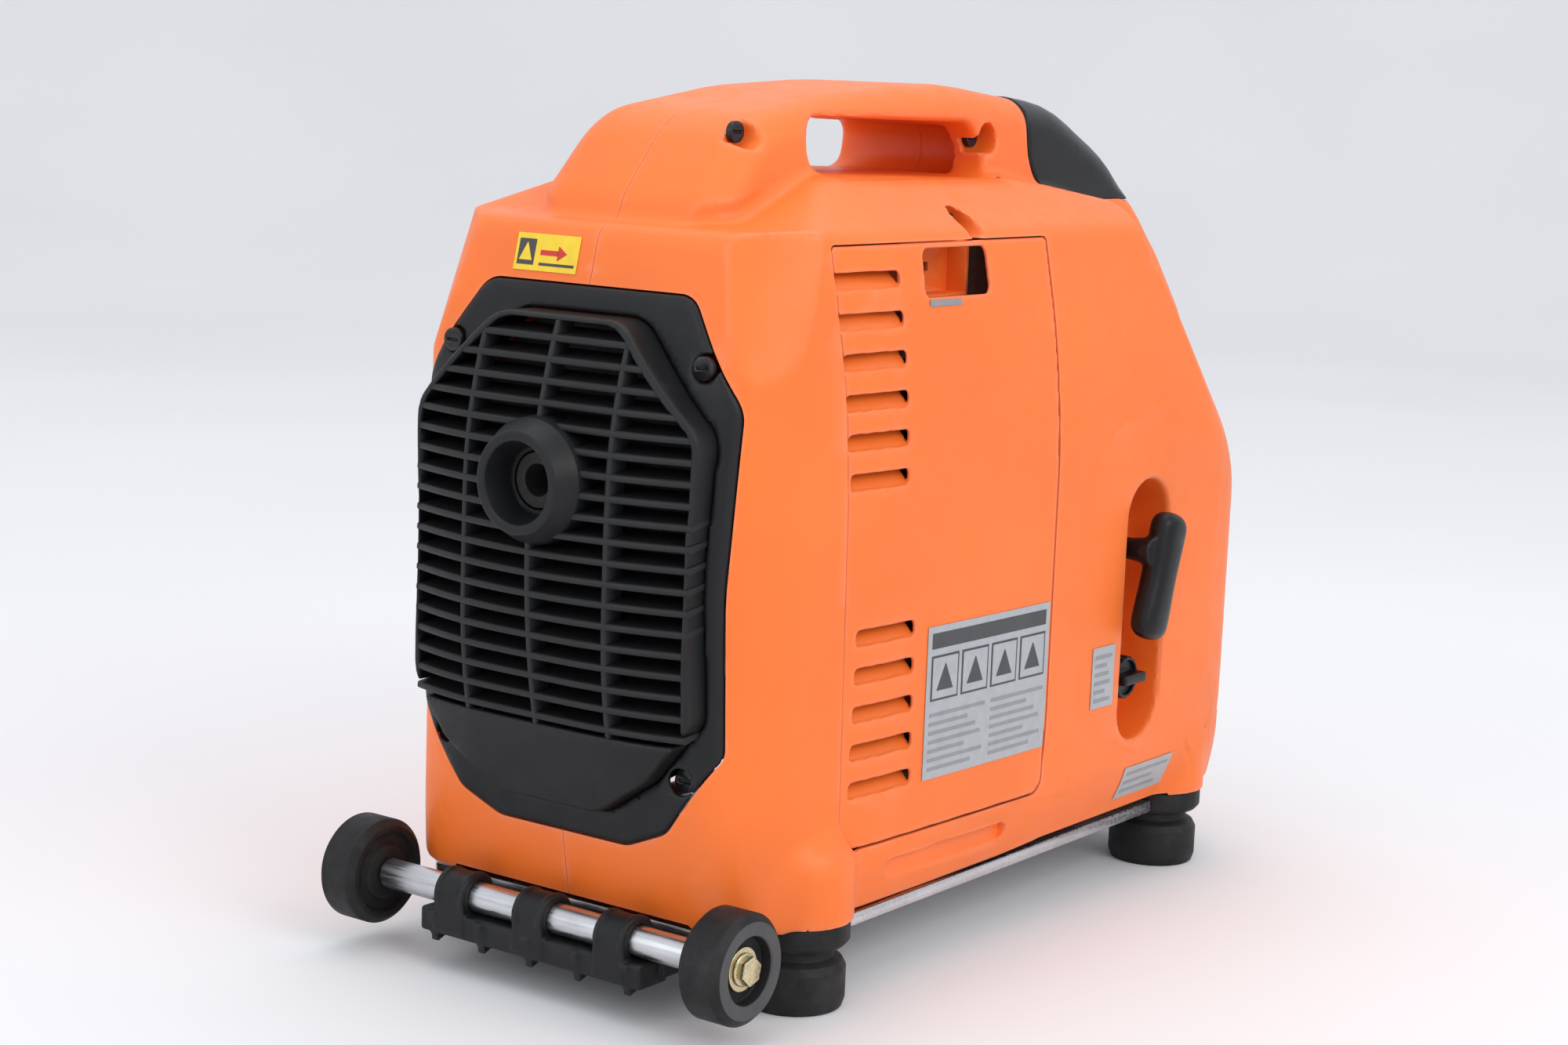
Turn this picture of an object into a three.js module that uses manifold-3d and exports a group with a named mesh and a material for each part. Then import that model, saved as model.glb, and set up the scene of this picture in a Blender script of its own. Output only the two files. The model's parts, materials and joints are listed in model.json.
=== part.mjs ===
// Portable inverter generator with a clip-on pair of transport wheels.
// Millimetres, +Z up. X runs along the machine: -X is the exhaust end with the wheels,
// +X is the control end. -Y is the side with the service cover and the starter.
// The origin lies on the floor, under the middle of the whole machine.
import * as THREE from 'three';
import { mergeVertices } from 'three/addons/utils/BufferGeometryUtils.js';
import Module from 'manifold-3d';

const wasm = await Module();
wasm.setup();

// ---------------------------------------------------------------- driving dimensions
const REAR = -261; // rear face of the casing
const FRONT = 297; // front face of the casing
const HALF_REAR = 122; // half width at the rear corners
const HALF_WIDTH = 150; // half width at the control end
const SKIRT_LOW = 46; // lower edge of the casing
const SHOULDER = 421; // top edge of the side walls
const TOP = 502; // top of the handle hump
const WALL = 3; // casing wall
const GAP = 0.4; // clearance between neighbouring pieces
const HUMP_REAR = -217; // rear end of the handle hump
const CORNER = 88; // radius of the casing's front corners, seen from above
const HUMP_HALF = 62; // half width of the handle hump

const FOOT_X = [-184, 217];
const FOOT_Y = 113;
const FOOT_TOP = 49.5;
const FOOT_R = 30;

const WHEEL_X = -266;
const WHEEL_Y = 130.5;
const WHEEL_Z = 44;
const WHEEL_R = 30.4;
const WHEEL_WIDTH = 27;
const AXLE_R = 8.5;
const BOLT_R = 5;

const CRANK_X = 150; // crankshaft axis, along Y
const CRANK_Z = 190;
const ROPE_X = 118; // where the rope leaves the casing
const ROPE_Z = 222;
const EXHAUST_Z = 286;

// ---------------------------------------------------------------- colours
function material(color, roughness, metalness = 0) {
  return new THREE.MeshStandardMaterial({ color, roughness, metalness });
}
const ORANGE = material(0xff6a1c, 0.5);
const CHARCOAL = material(0x26282b, 0.6);
const GLOSS_BLACK = material(0x17181a, 0.3);
const RUBBER = material(0x1c1c1d, 0.85);
const STEEL = material(0xb4b7ba, 0.35, 1);
const ZINC = material(0xc9b173, 0.4, 1);
const CAST = material(0x8f9396, 0.6, 0.8);
const COPPER = material(0xa8653a, 0.45, 0.9);
const WHITE_PLASTIC = material(0xd8d8d2, 0.55);
const CORD = material(0x2a2a2a, 0.9);
const LABEL = material(0xb6babd, 0.45);
const YELLOW = material(0xf2c21a, 0.5);
const RED = material(0xc0211c, 0.5);
const GREEN = material(0x2f9a4a, 0.4);

// ---------------------------------------------------------------- shape helpers
const ARC_STEP = Math.PI / 6;

// A counter-clockwise outline of corners [x, y, radius], moved inwards by inset.
function corners(list, inset) {
  return list.map(([x, y, r = 0], i) => {
    const [px, py] = list[(i + list.length - 1) % list.length];
    const [qx, qy] = list[(i + 1) % list.length];
    const a = new THREE.Vector2(x - px, y - py).normalize();
    const b = new THREE.Vector2(qx - x, qy - y).normalize();
    const share = inset / (1 + a.dot(b));
    const radius = a.cross(b) > 0 ? r - inset : r + inset;
    return [x - (a.y + b.y) * share, y + (a.x + b.x) * share, r > 0 ? Math.max(radius, 0.5) : 0];
  });
}

// The outline's points, with each corner rounded by its radius.
function roundedPoints(list) {
  const points = [];
  list.forEach(([x, y, r], i) => {
    const [px, py] = list[(i + list.length - 1) % list.length];
    const [qx, qy] = list[(i + 1) % list.length];
    const a = new THREE.Vector2(x - px, y - py).normalize();
    const b = new THREE.Vector2(qx - x, qy - y).normalize();
    const turn = Math.atan2(a.cross(b), a.dot(b));
    const length = r * Math.tan(Math.abs(turn) / 2);
    const steps = r > 0 ? Math.max(1, Math.ceil(Math.abs(turn) / ARC_STEP)) : 0;
    if (steps === 0) points.push(new THREE.Vector2(x, y));
    const side = Math.sign(turn);
    const centre = new THREE.Vector2(x - a.x * length - a.y * r * side, y - a.y * length + a.x * r * side);
    for (let k = 0; steps > 0 && k <= steps; k += 1) {
      const spoke = new THREE.Vector2(a.y * r * side, -a.x * r * side);
      points.push(spoke.rotateAround(new THREE.Vector2(), (turn * k) / steps).add(centre));
    }
  });
  return points;
}

function outline(list, inset = 0) {
  return new THREE.Shape(roundedPoints(corners(list, inset)));
}

function rectangle(x0, y0, x1, y1, r = 0) {
  return [[x0, y0, r], [x1, y0, r], [x1, y1, r], [x0, y1, r]];
}

// Mirrors the right half of an outline (x >= 0, listed upwards) to both sides.
function bothSides(half) {
  const left = half.map(([x, y, r]) => [-x, y, r]).reverse();
  return [...half, ...left];
}

function extrude(shape, depth) {
  return new THREE.ExtrudeGeometry(shape, { depth, bevelEnabled: false, steps: 1 });
}

function solid(geometry) {
  const bare = geometry.index ? geometry.toNonIndexed() : geometry.clone();
  bare.deleteAttribute('normal');
  bare.deleteAttribute('uv');
  const merged = mergeVertices(bare, 1e-4);
  return new wasm.Manifold(new wasm.Mesh({
    numProp: 3,
    vertProperties: new Float32Array(merged.attributes.position.array),
    triVerts: new Uint32Array(merged.index.array),
  }));
}

const AXES = {
  x: new THREE.Matrix4().makeBasis(
    new THREE.Vector3(0, 1, 0), new THREE.Vector3(0, 0, 1), new THREE.Vector3(1, 0, 0)),
  y: new THREE.Matrix4().makeBasis(
    new THREE.Vector3(1, 0, 0), new THREE.Vector3(0, 0, 1), new THREE.Vector3(0, -1, 0)),
  z: new THREE.Matrix4(),
};

// A prism along an axis from one place to another. Its outline is drawn in (y, z) for x,
// in (x, z) for y and in (x, y) for z.
function prism(axis, list, from, to, inset = 0) {
  const geometry = extrude(outline(list, inset), to - from).applyMatrix4(AXES[axis]);
  const start = axis === 'y' ? to : from;
  const shift = { x: 0, y: 0, z: 0, [axis]: start };
  return solid(geometry.translate(shift.x, shift.y, shift.z));
}

// A turned piece about an axis through a point; the profile is [radius, height] pairs.
function turned(axis, at, profile, segments = 24) {
  const points = profile.map(([r, h]) => new THREE.Vector2(r, h));
  const geometry = new THREE.LatheGeometry(points, segments).rotateX(Math.PI / 2);
  if (axis === 'x') geometry.rotateY(Math.PI / 2);
  if (axis === 'y') geometry.rotateX(-Math.PI / 2);
  return solid(geometry.translate(at[0], at[1], at[2]));
}

function cylinder(axis, at, r, from, to, segments = 16) {
  return turned(axis, at, [[0, from], [r, from], [r, to], [0, to]], segments);
}

function ring(axis, at, inner, outer, from, to, segments = 20) {
  const profile = [[inner, from], [outer, from], [outer, to], [inner, to], [inner, from]];
  return turned(axis, at, profile, segments);
}

function box(x0, x1, y0, y1, z0, z1) {
  const geometry = new THREE.BoxGeometry(x1 - x0, y1 - y0, z1 - z0);
  return solid(geometry.translate((x0 + x1) / 2, (y0 + y1) / 2, (z0 + z1) / 2));
}

// A round rod along points.
function rod(points, r, steps = 14) {
  const path = new THREE.CatmullRomCurve3(points.map((p) => new THREE.Vector3(...p)));
  const section = new THREE.Shape().absarc(0, 0, r, 0, Math.PI * 2);
  return solid(new THREE.ExtrudeGeometry(section, { steps, extrudePath: path, curveSegments: 4 }));
}

function union(list) {
  return list.reduce((sum, next) => sum.add(next));
}

const machine = new THREE.Group();
// Brings the middle of the whole machine, starter grip included, over the origin.
machine.position.set(-0.3, 7.9, 0);

function node(name, body, look) {
  const mesh = body.getMesh();
  const positions = new Float32Array(mesh.numVert * 3);
  for (let i = 0; i < mesh.numVert; i += 1) {
    for (let k = 0; k < 3; k += 1) positions[i * 3 + k] = mesh.vertProperties[i * mesh.numProp + k];
  }
  const geometry = new THREE.BufferGeometry();
  geometry.setAttribute('position', new THREE.BufferAttribute(positions, 3));
  geometry.setIndex(new THREE.BufferAttribute(new Uint32Array(mesh.triVerts), 1));
  geometry.computeVertexNormals();
  const piece = new THREE.Mesh(geometry, look);
  piece.name = name;
  machine.add(piece);
}

// ---------------------------------------------------------------- casing outlines
const PLAN = [
  [REAR, HALF_REAR, 60], [REAR, -HALF_REAR, 60], [0, -HALF_WIDTH, 2600],
  [FRONT, 1 - HALF_WIDTH, CORNER], [FRONT, HALF_WIDTH - 1, CORNER], [0, HALF_WIDTH, 2600],
];
const BODY_SIDE = [
  [-243, SKIRT_LOW, 6], [283, SKIRT_LOW, 6], [FRONT, 66, 20], [FRONT, 250, 80], [245, 345, 90],
  [150, 432, 60], [40, 451, 80], [-136, 451, 70], [-200, 424, 30], [-232, SHOULDER, 12],
  [REAR, 300, 250], [REAR, 150, 250],
];
const BODY_END = bothSides([
  [128, SKIRT_LOW, 6], [145, 84, 12], [HALF_WIDTH, 130, 60], [HALF_WIDTH, 290, 160],
  [124, SHOULDER, 14], [78, 450, 40], [30, 456, 100],
]);
const HUMP_SIDE = [
  [HUMP_REAR, 245, 0], [238, 245, 0], [240, 400, 45], [231, 430, 50], [202, 460, 100],
  [140, 490, 120], [18, TOP, 300], [-80, 496, 200], [-176, 481, 55], [HUMP_REAR, 432, 30],
];
const HUMP_END = bothSides([
  [138, 245, 0], [118, 330, 0], [104, 364, 60], [80, 408, 40], [66, 440, 30],
  [HUMP_HALF, 474, 20], [58, TOP, 26],
]);
const HUMP_PLAN = [
  [HUMP_REAR, 66, 26], [HUMP_REAR, -66, 26], [60, -66, 0], [120, 1 - HALF_WIDTH, 0],
  [FRONT, 1 - HALF_WIDTH, CORNER], [FRONT, HALF_WIDTH - 1, CORNER], [120, HALF_WIDTH - 1, 0],
  [60, 66, 0],
];

// The corners of the side walls lean inwards: the front ones above the panel, the rear ones
// towards the top. Each plan is sheared by so much a millimetre from its starting height.
const FRONT_LEAN = {
  from: 270,
  by: -0.92,
  plan: [
    [-600, HALF_WIDTH, 0], [-600, -HALF_WIDTH, 0],
    [FRONT, 1 - HALF_WIDTH, CORNER], [FRONT, HALF_WIDTH - 1, CORNER],
  ],
};
const REAR_LEAN = {
  from: 355,
  by: 0.42,
  plan: [
    [-277, 128, 100], [-277, -128, 100], [0, -161, 0], [600, -161, 0], [600, 161, 0], [0, 161, 0],
  ],
};

function leaning({ from, by, plan }, inset) {
  const shear = new THREE.Matrix4().makeShear(0, 0, 0, 0, by, 0);
  return solid(extrude(outline(plan, inset), 600).applyMatrix4(shear).translate(-by * from, 0, 0));
}

// The casing as a filled body, every face moved inwards by inset.
function casing(inset) {
  const body = prism('z', PLAN, 0, 600, inset)
    .intersect(prism('y', BODY_SIDE, -200, 200, inset))
    .intersect(prism('x', BODY_END, -300, 340, inset))
    .intersect(leaning(FRONT_LEAN, inset))
    .intersect(leaning(REAR_LEAN, inset));
  const hump = prism('z', HUMP_PLAN, 0, 600, inset)
    .intersect(prism('y', HUMP_SIDE, -200, 200, inset))
    .intersect(prism('x', HUMP_END, -300, 340, inset));
  return body.add(hump);
}

const SKIN = casing(0);
const INSIDE = casing(WALL);

// ---------------------------------------------------------------- openings of the casing
const BEZEL = bothSides([
  [46, 89, 20], [74, 101, 16], [107, 147, 14], [105, 232, 150], [110, 332, 22], [72, 388, 16],
]);
const BEZEL_BACK = -200;
// The hand hole is longer on its far side, behind the screw pocket beside it.
const HAND_HOLE = [[-130, 450, 14], [66, 446, 12], [34, 479, 16], [-130, 481, 16]];
const FAR_HAND_HOLE = [[-130, 450, 14], [74, 447, 12], [74, 476, 12], [-130, 481, 16]];
const FAR_HOLE_START = -40;
const SKIRT_SLOT = rectangle(-127, 62, -8, 72, 4.9);
const COVER = [[-173, 85, 14], [22, 85, 10], [22, 416, 3], [-192, 416, 3], [-177, 300, 400]];
const STARTER_POCKET = rectangle(105, 100, 153, 265, 23.9);
const POCKET_FLOOR = -116;
const LID_EDGE = [[97, 431, 34], [330, 431, 0], [330, 560, 0], [97, 560, 0]];
const LID_HALF = 69;
const PANEL = rectangle(-84, 104, 84, 254, 14);
const DEEP_SCREWS = [
  { x: -178, z: 472, face: -61 },
  { x: 54, z: 470, face: -62 },
  { x: -50, z: 424, face: -116 },
];
const SCREW_POCKET_R = 9;
const SCREW_POCKET_DEPTH = 16;

function pockets(grow) {
  const list = [
    prism('y', HAND_HOLE, -90, 90, -grow),
    prism('y', FAR_HAND_HOLE, FAR_HOLE_START - grow, 90, -grow),
    prism('y', STARTER_POCKET, -170, POCKET_FLOOR + grow, -grow),
  ];
  for (const { x, z, face } of DEEP_SCREWS) {
    const r = SCREW_POCKET_R + grow;
    list.push(cylinder('y', [x, face, z], r, -25, SCREW_POCKET_DEPTH + grow));
  }
  return union(list);
}

const LID_REGION = prism('y', LID_EDGE, -LID_HALF, LID_HALF);
const NOTCH_ROWS = 5;
const NOTCH_PITCH = 22;
const NOTCH_LOW = 101;

// Short cooling louvres around both front corners.
function notches() {
  const list = [];
  for (let row = 0; row < NOTCH_ROWS; row += 1) {
    const z = NOTCH_LOW + row * NOTCH_PITCH;
    for (const side of [-1, 1]) {
      const y0 = side > 0 ? 104 : -170;
      list.push(box(248, 320, y0, y0 + 66, z - 4.5, z + 4.5));
    }
  }
  return union(list);
}

function footClearance() {
  return union(FOOT_X.flatMap((x) => [-1, 1].map((side) => (
    cylinder('z', [x, side * FOOT_Y, 0], FOOT_R + GAP, 20, FOOT_TOP + GAP)))));
}

function shells() {
  const hollow = INSIDE.subtract(pockets(WALL));
  let bosses = union(FOOT_X.flatMap((x) => [-1, 1].map((side) => (
    cylinder('z', [x, side * FOOT_Y, 0], FOOT_R + 1.5, FOOT_TOP + GAP, 92)))));
  bosses = bosses.subtract(casing(WALL - 1));
  const shell = SKIN.subtract(hollow).add(bosses)
    .subtract(pockets(0))
    .subtract(prism('x', BEZEL, REAR - 40, BEZEL_BACK, -GAP))
    .subtract(prism('y', COVER, -200, -60, -GAP))
    .subtract(prism('y', SKIRT_SLOT, -200, -100))
    .subtract(prism('y', LID_EDGE, -LID_HALF - GAP, LID_HALF + GAP, -GAP))
    .subtract(prism('x', PANEL, 270, 330, -GAP))
    .subtract(prism('z', PLAN, 30, 52, 14))
    .subtract(cylinder('y', [ROPE_X, 0, ROPE_Z], 6, -130, -100))
    .subtract(cylinder('y', [121, 0, 140], 6, -130, -100))
    .subtract(footClearance())
    .subtract(notches());
  const right = shell.intersect(box(-400, 400, -200, -0.2, 0, 600));
  const left = shell.intersect(box(-400, 400, 0.2, 200, 0, 600));
  return [left, right];
}

const [leftShell, rightShell] = shells();
node('left_shell', leftShell, ORANGE);
node('right_shell', rightShell, ORANGE);

// A thin layer of the casing: from one depth to another below its surface.
function layer(outer, inner) {
  return casing(outer).subtract(casing(inner));
}

// ---------------------------------------------------------------- service cover
const SLOT_HEIGHT = 9;
const UPPER_SLOTS = { count: 6, z: 397, pitch: -21.5, x: -190, dx: 3, length: 58, shrink: 1.6 };
const LOWER_SLOTS = { count: 5, z: 203.5, pitch: -21.25, x: -165, dx: -0.4, length: 51, shrink: -1 };
const CHOKE_WINDOW = rectangle(-108, 386, -44, 412, 5);

function slots({ count, z, pitch, x, dx, length, shrink }) {
  const list = [];
  for (let i = 0; i < count; i += 1) {
    const left = x + dx * i;
    const middle = z + pitch * i;
    const right = left + length - shrink * i;
    const slot = rectangle(left, middle - SLOT_HEIGHT / 2, right, middle + SLOT_HEIGHT / 2, 3);
    list.push(prism('y', slot, -200, -90));
  }
  return union(list);
}

node('service_cover', layer(0, WALL)
  .intersect(prism('y', COVER, -200, -70))
  .subtract(slots(UPPER_SLOTS))
  .subtract(slots(LOWER_SLOTS))
  .subtract(prism('y', CHOKE_WINDOW, -200, -90)), ORANGE);

// ---------------------------------------------------------------- labels
const INFO_LABEL = rectangle(-102, 114, 19, 202);
const WARNING_LABEL = rectangle(11, 393, 56, 413);

node('info_label', layer(-0.9, -0.3).intersect(prism('y', INFO_LABEL, -200, -100)), LABEL);
node('warning_label', layer(-0.9, -0.3).intersect(prism('x', WARNING_LABEL, -300, -200)), YELLOW);

// ---------------------------------------------------------------- exhaust end
const GRILLE_FRAME = bothSides([
  [36, 107, 18], [72, 131, 20], [99, 165, 20], [95, 240, 200], [100, 318, 20], [44, 374, 24],
]);
const VENT = bothSides([[93, 154, 6], [93, 240, 200], [95, 316, 20], [40, 370, 20]]);
const LOUVRE_LOW = 154;
const LOUVRE_PITCH = 11.3;
const LOUVRE_COUNT = 19;
const LOUVRE_BLADE = 4.2;
const RIB_PLACES = [-50, 0, 50];
const RIB_HALF = 1.8;
// The grille bulges outwards both across and upwards.
const GRILLE_BOW = [
  [-200, -103, 0], [-200, 103, 0], [-267, 103, 0], [-283, 50, 0], [-287, 0, 0], [-283, -50, 0],
  [-267, -103, 0],
];
const GRILLE_RISE = [
  [-200, 100, 0], [-200, 380, 0], [-262, 380, 0], [-279, 330, 0], [-287, 250, 0],
  [-280, 165, 0], [-264, 100, 0],
];

const GRILLE_BACK = -240;

function grilleSolid(inset) {
  return prism('z', GRILLE_BOW, 80, 400, inset)
    .intersect(prism('y', GRILLE_RISE, -110, 110, inset))
    .intersect(prism('x', GRILLE_FRAME, -300, GRILLE_BACK, GAP + inset));
}

function ventGaps() {
  const list = [];
  for (let row = 0; row < LOUVRE_COUNT; row += 1) {
    const z = LOUVRE_LOW + row * LOUVRE_PITCH;
    const gap = [[-300, z - 3], [-240, z + 5], [-240, z + 5 + LOUVRE_PITCH - LOUVRE_BLADE],
      [-300, z - 3 + LOUVRE_PITCH - LOUVRE_BLADE]];
    list.push(prism('y', gap, -100, 100));
  }
  let gaps = union(list).intersect(prism('x', VENT, -300, -230));
  for (const y of RIB_PLACES) {
    gaps = gaps.subtract(box(-300, -230, y - RIB_HALF, y + RIB_HALF, 100, 400));
  }
  return gaps;
}

node('exhaust_bezel', layer(-2, WALL)
  .intersect(prism('x', BEZEL, REAR - 40, BEZEL_BACK - 4))
  .subtract(prism('x', GRILLE_FRAME, -300, -200))
  .subtract(bezelScrewHoles()), CHARCOAL);

function bezelScrewHoles() {
  return union(bezelScrewPlaces().map(([y, z]) => cylinder('x', [0, y, z], 7.5, -300, -200, 16)));
}

function bezelScrewPlaces() {
  return [-1, 1].flatMap((side) => [[side * 88, 352], [side * 85, 132]]);
}

const COLLAR_R = 34;
node('exhaust_collar', turned('x', [0, 0, EXHAUST_Z],
  [[24, -296], [27, -296], [COLLAR_R, -283], [COLLAR_R, -274], [24, -274], [24, -296]], 28), CHARCOAL);
node('exhaust_grille', grilleSolid(0).subtract(grilleSolid(5))
  .subtract(ventGaps())
  .subtract(cylinder('x', [0, 0, EXHAUST_Z], COLLAR_R + GAP, -300, -230, 28)), CHARCOAL);

bezelScrewPlaces().forEach(([y, z], i) => {
  const screw = cylinder('x', [0, y, z], 6.5, -252, -248, 16)
    .add(cylinder('x', [0, y, z], 3, -248.5, -240, 8))
    .subtract(box(-253, -250.5, y - 4, y + 4, z - 0.8, z + 0.8));
  node(`bezel_screw_${i + 1}`, screw, STEEL);
});

// ---------------------------------------------------------------- fuel lid, filler and tank
const CAP_X = 176;
const CAP_Z = 447;
const TANK_FLOOR = 336;
const TANK_ROOF = 412;

node('fuel_lid', layer(-0.8, 2.2).intersect(LID_REGION), GLOSS_BLACK);
node('fuel_cap', turned('z', [CAP_X, 0, 0],
  [[0, 436], [20, 436], [20, 428], [25, 428], [25, CAP_Z - 3], [22, CAP_Z], [0, CAP_Z]], 20), CHARCOAL);
const TANK = rectangle(20, -66, 222, 66, 20);
node('fuel_tank', prism('z', TANK, TANK_FLOOR, TANK_ROOF)
  .subtract(prism('z', TANK, TANK_FLOOR + 3, TANK_ROOF - 3, 3))
  .add(ring('z', [CAP_X, 0, 0], 15, 18, TANK_ROOF - 3, 435))
  .subtract(cylinder('z', [CAP_X, 0, 0], 15, TANK_ROOF - 8, 440))
  .subtract(cylinder('z', [60, -50, 0], 3, TANK_FLOOR - 5, TANK_FLOOR + 10)), WHITE_PLASTIC);
node('filler_tray', box(102, 222, -54, 54, 419, 422)
  .subtract(cylinder('z', [CAP_X, 0, 0], 20, 410, 430)), CHARCOAL);

// ---------------------------------------------------------------- starter pocket
const GRIP_Y = -156;
const GRIP_TILT = 0.3;
const gripBar = new THREE.CapsuleGeometry(11, 58, 6, 16).scale(1.35, 1, 0.85).rotateX(Math.PI / 2);
node('starter_grip', solid(gripBar.rotateY(GRIP_TILT).translate(ROPE_X + 8, GRIP_Y, ROPE_Z - 16))
  .add(cylinder('y', [ROPE_X, 0, ROPE_Z], 8, GRIP_Y, -128, 16)), GLOSS_BLACK);
node('starter_rope', cylinder('y', [ROPE_X, 0, ROPE_Z], 2, -127.6, -98.4, 8), CORD);
node('rope_guide', ring('y', [ROPE_X, 0, ROPE_Z], 3, 5.6, -122, -112, 16)
  .add(ring('y', [ROPE_X, 0, ROPE_Z], 3, 8.5, -122, -119.4, 16)), CHARCOAL);
const KNOB = { x: 121, z: 140, y: -142 };
node('fuel_knob', turned('y', [KNOB.x, 0, KNOB.z],
  [[0, -119.4], [9, -119.4], [14, -123], [14, KNOB.y + 3], [12, KNOB.y], [0, KNOB.y]].reverse(), 20)
  .add(box(KNOB.x - 13, KNOB.x + 13, KNOB.y - 6, KNOB.y + 2, KNOB.z - 3, KNOB.z + 3)), GLOSS_BLACK);
node('fuel_valve', cylinder('y', [KNOB.x, 0, KNOB.z], 5, -119, -108, 12)
  .add(cylinder('y', [KNOB.x, 0, KNOB.z], 9, -112, -101, 16)), STEEL);
node('fuel_hose', rod([[60, -50, 335], [60, -60, 300], [60, -96, 250], [70, -103, 180],
  [92, -104, 142], [111, -106, 140]], 3.2), RUBBER);
DEEP_SCREWS.forEach(({ x, z, face }, i) => {
  const seat = face + SCREW_POCKET_DEPTH;
  node(`casing_screw_${i + 1}`, cylinder('y', [x, 0, z], 6, seat - 4, seat - 0.3, 16)
    .subtract(box(x - 4, x + 4, seat - 5, seat - 3, z - 0.8, z + 0.8)), STEEL);
});

// ---------------------------------------------------------------- choke
const CHOKE_RAIL = rectangle(-112, 382, -40, 416, 3);
node('choke_guide', prism('y', CHOKE_RAIL, -112, -96)
  .subtract(prism('y', CHOKE_RAIL, -120, -99, 3))
  .subtract(box(-104, -62, -110, -90, 397, 402)), ORANGE);
node('choke_lever', box(-103, -93, -112, -102, 388, 410)
  .add(box(-94, -82, -110, -102, 395, 403))
  .add(box(-101, -97, -103, -86, 397.6, 401.4)), GLOSS_BLACK);

// ---------------------------------------------------------------- recoil starter and alternator
const crankAt = [CRANK_X, 0, CRANK_Z];
const RECOIL_DISH = [
  [12, -96], [50, -96], [76, -84], [76, -44], [73, -44], [73, -82], [50, -92.5], [12, -92.5], [12, -96],
];
node('recoil_housing', turned('y', crankAt, RECOIL_DISH, 24)
  .subtract(cylinder('y', [ROPE_X, 0, ROPE_Z], 5, -99, -90)), CHARCOAL);
const PULLEY = [[0, -91], [46, -91], [46, -89], [40, -86], [46, -83], [46, -81], [0, -81], [0, -91]];
node('recoil_pulley', turned('y', crankAt, PULLEY, 24), WHITE_PLASTIC);
const FLYWHEEL = [[0, -79], [66, -79], [66, -52], [60, -52], [60, -73], [0, -73], [0, -79]];
function flywheel() {
  let wheel = turned('y', crankAt, FLYWHEEL, 24);
  for (let blade = 0; blade < 10; blade += 1) {
    wheel = wheel.add(box(-1.2, 1.2, -74, -50, 61, 70).rotate([0, blade * 36, 0]).translate(crankAt));
  }
  return wheel.add(cylinder('y', crankAt, 10, -74, 40, 20));
}
node('flywheel', flywheel(), CAST);
node('alternator_stator', ring('y', crankAt, 24, 57, -70, -42, 30), COPPER);

// ---------------------------------------------------------------- engine
node('crankcase', prism('y', [[88, 118, 16], [214, 118, 16], [214, 250, 20], [88, 262, 20]], -38, 78)
  .subtract(cylinder('y', crankAt, 10.5, -60, 44, 20))
  .subtract(cylinder('y', crankAt, 22, -30, 41, 20)), CAST);
function cylinderBlock() {
  let block = box(-6, 87.6, -8, 60, 150, 232);
  for (let fin = 0; fin < 8; fin += 1) {
    const x = 2 + fin * 11;
    block = block.add(box(x, x + 3, -22, 74, 136, 246));
  }
  return block.add(prism('x', rectangle(-4, 154, 56, 228, 8), -40, -5));
}
node('cylinder_block', cylinderBlock(), CAST);
node('spark_plug', cylinder('z', [-24, 26, 0], 5, 228.4, 262, 12)
  .add(cylinder('z', [-24, 26, 0], 8, 236, 244, 6)), WHITE_PLASTIC);
node('carburetor', box(20, 62, 78, 112, 250, 296).add(cylinder('z', [41, 95, 0], 15, 236, 252, 16)), CAST);
node('air_cleaner', prism('y', rectangle(70, 262.4, 180, 326, 10), 20, 116), CHARCOAL);
const MUFFLER = rectangle(-216, 160, -120, 320, 18);
node('muffler', prism('y', MUFFLER, -80, 80)
  .subtract(prism('y', MUFFLER, -78, 78, 2))
  .subtract(cylinder('x', [0, 0, EXHAUST_Z], 9, -230, -200)), STEEL);
node('tail_pipe', ring('x', [0, 0, EXHAUST_Z], 9, 15, -278, -216.4, 24), CAST);
node('inverter_module', inverter(), CAST);

function inverter() {
  let body = box(226, 262, -84, 84, 70, 100);
  for (let fin = 0; fin < 12; fin += 1) {
    const y = -82 + fin * 14;
    body = body.add(box(226, 262, y, y + 3, 100, 116));
  }
  return body;
}

// ---------------------------------------------------------------- control panel
const PANEL_FACE = 291;
const SOCKET_Z = 140;
const SOCKET_Y = [-46, 46];
const SOCKET_R = 22;
const SWITCH_Z = 222;
const SWITCHES = [
  { name: 'engine_switch', y: -52, look: RED },
  { name: 'economy_switch', y: 0, look: CHARCOAL },
];
const BREAKER = { y: 50, z: SWITCH_Z, r: 8 };
const DC_SOCKET = { y: 0, z: 184, r: 13 };
const LAMP_Z = 243;

function panelPlate() {
  let plate = prism('x', PANEL, PANEL_FACE - 4, PANEL_FACE);
  for (const y of SOCKET_Y) {
    plate = plate.subtract(cylinder('x', [0, y, SOCKET_Z], SOCKET_R + GAP, 280, 300));
  }
  for (const { y } of SWITCHES) {
    plate = plate.add(box(272, PANEL_FACE + 1, y - 10, y + 10, SWITCH_Z - 15, SWITCH_Z + 15))
      .subtract(box(276, 300, y - 7.6, y + 7.6, SWITCH_Z - 12.6, SWITCH_Z + 12.6));
  }
  plate = plate.subtract(cylinder('x', [0, BREAKER.y, BREAKER.z], BREAKER.r + GAP, 280, 300));
  return plate.subtract(cylinder('x', [0, DC_SOCKET.y, DC_SOCKET.z], DC_SOCKET.r + GAP, 280, 300));
}

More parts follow.
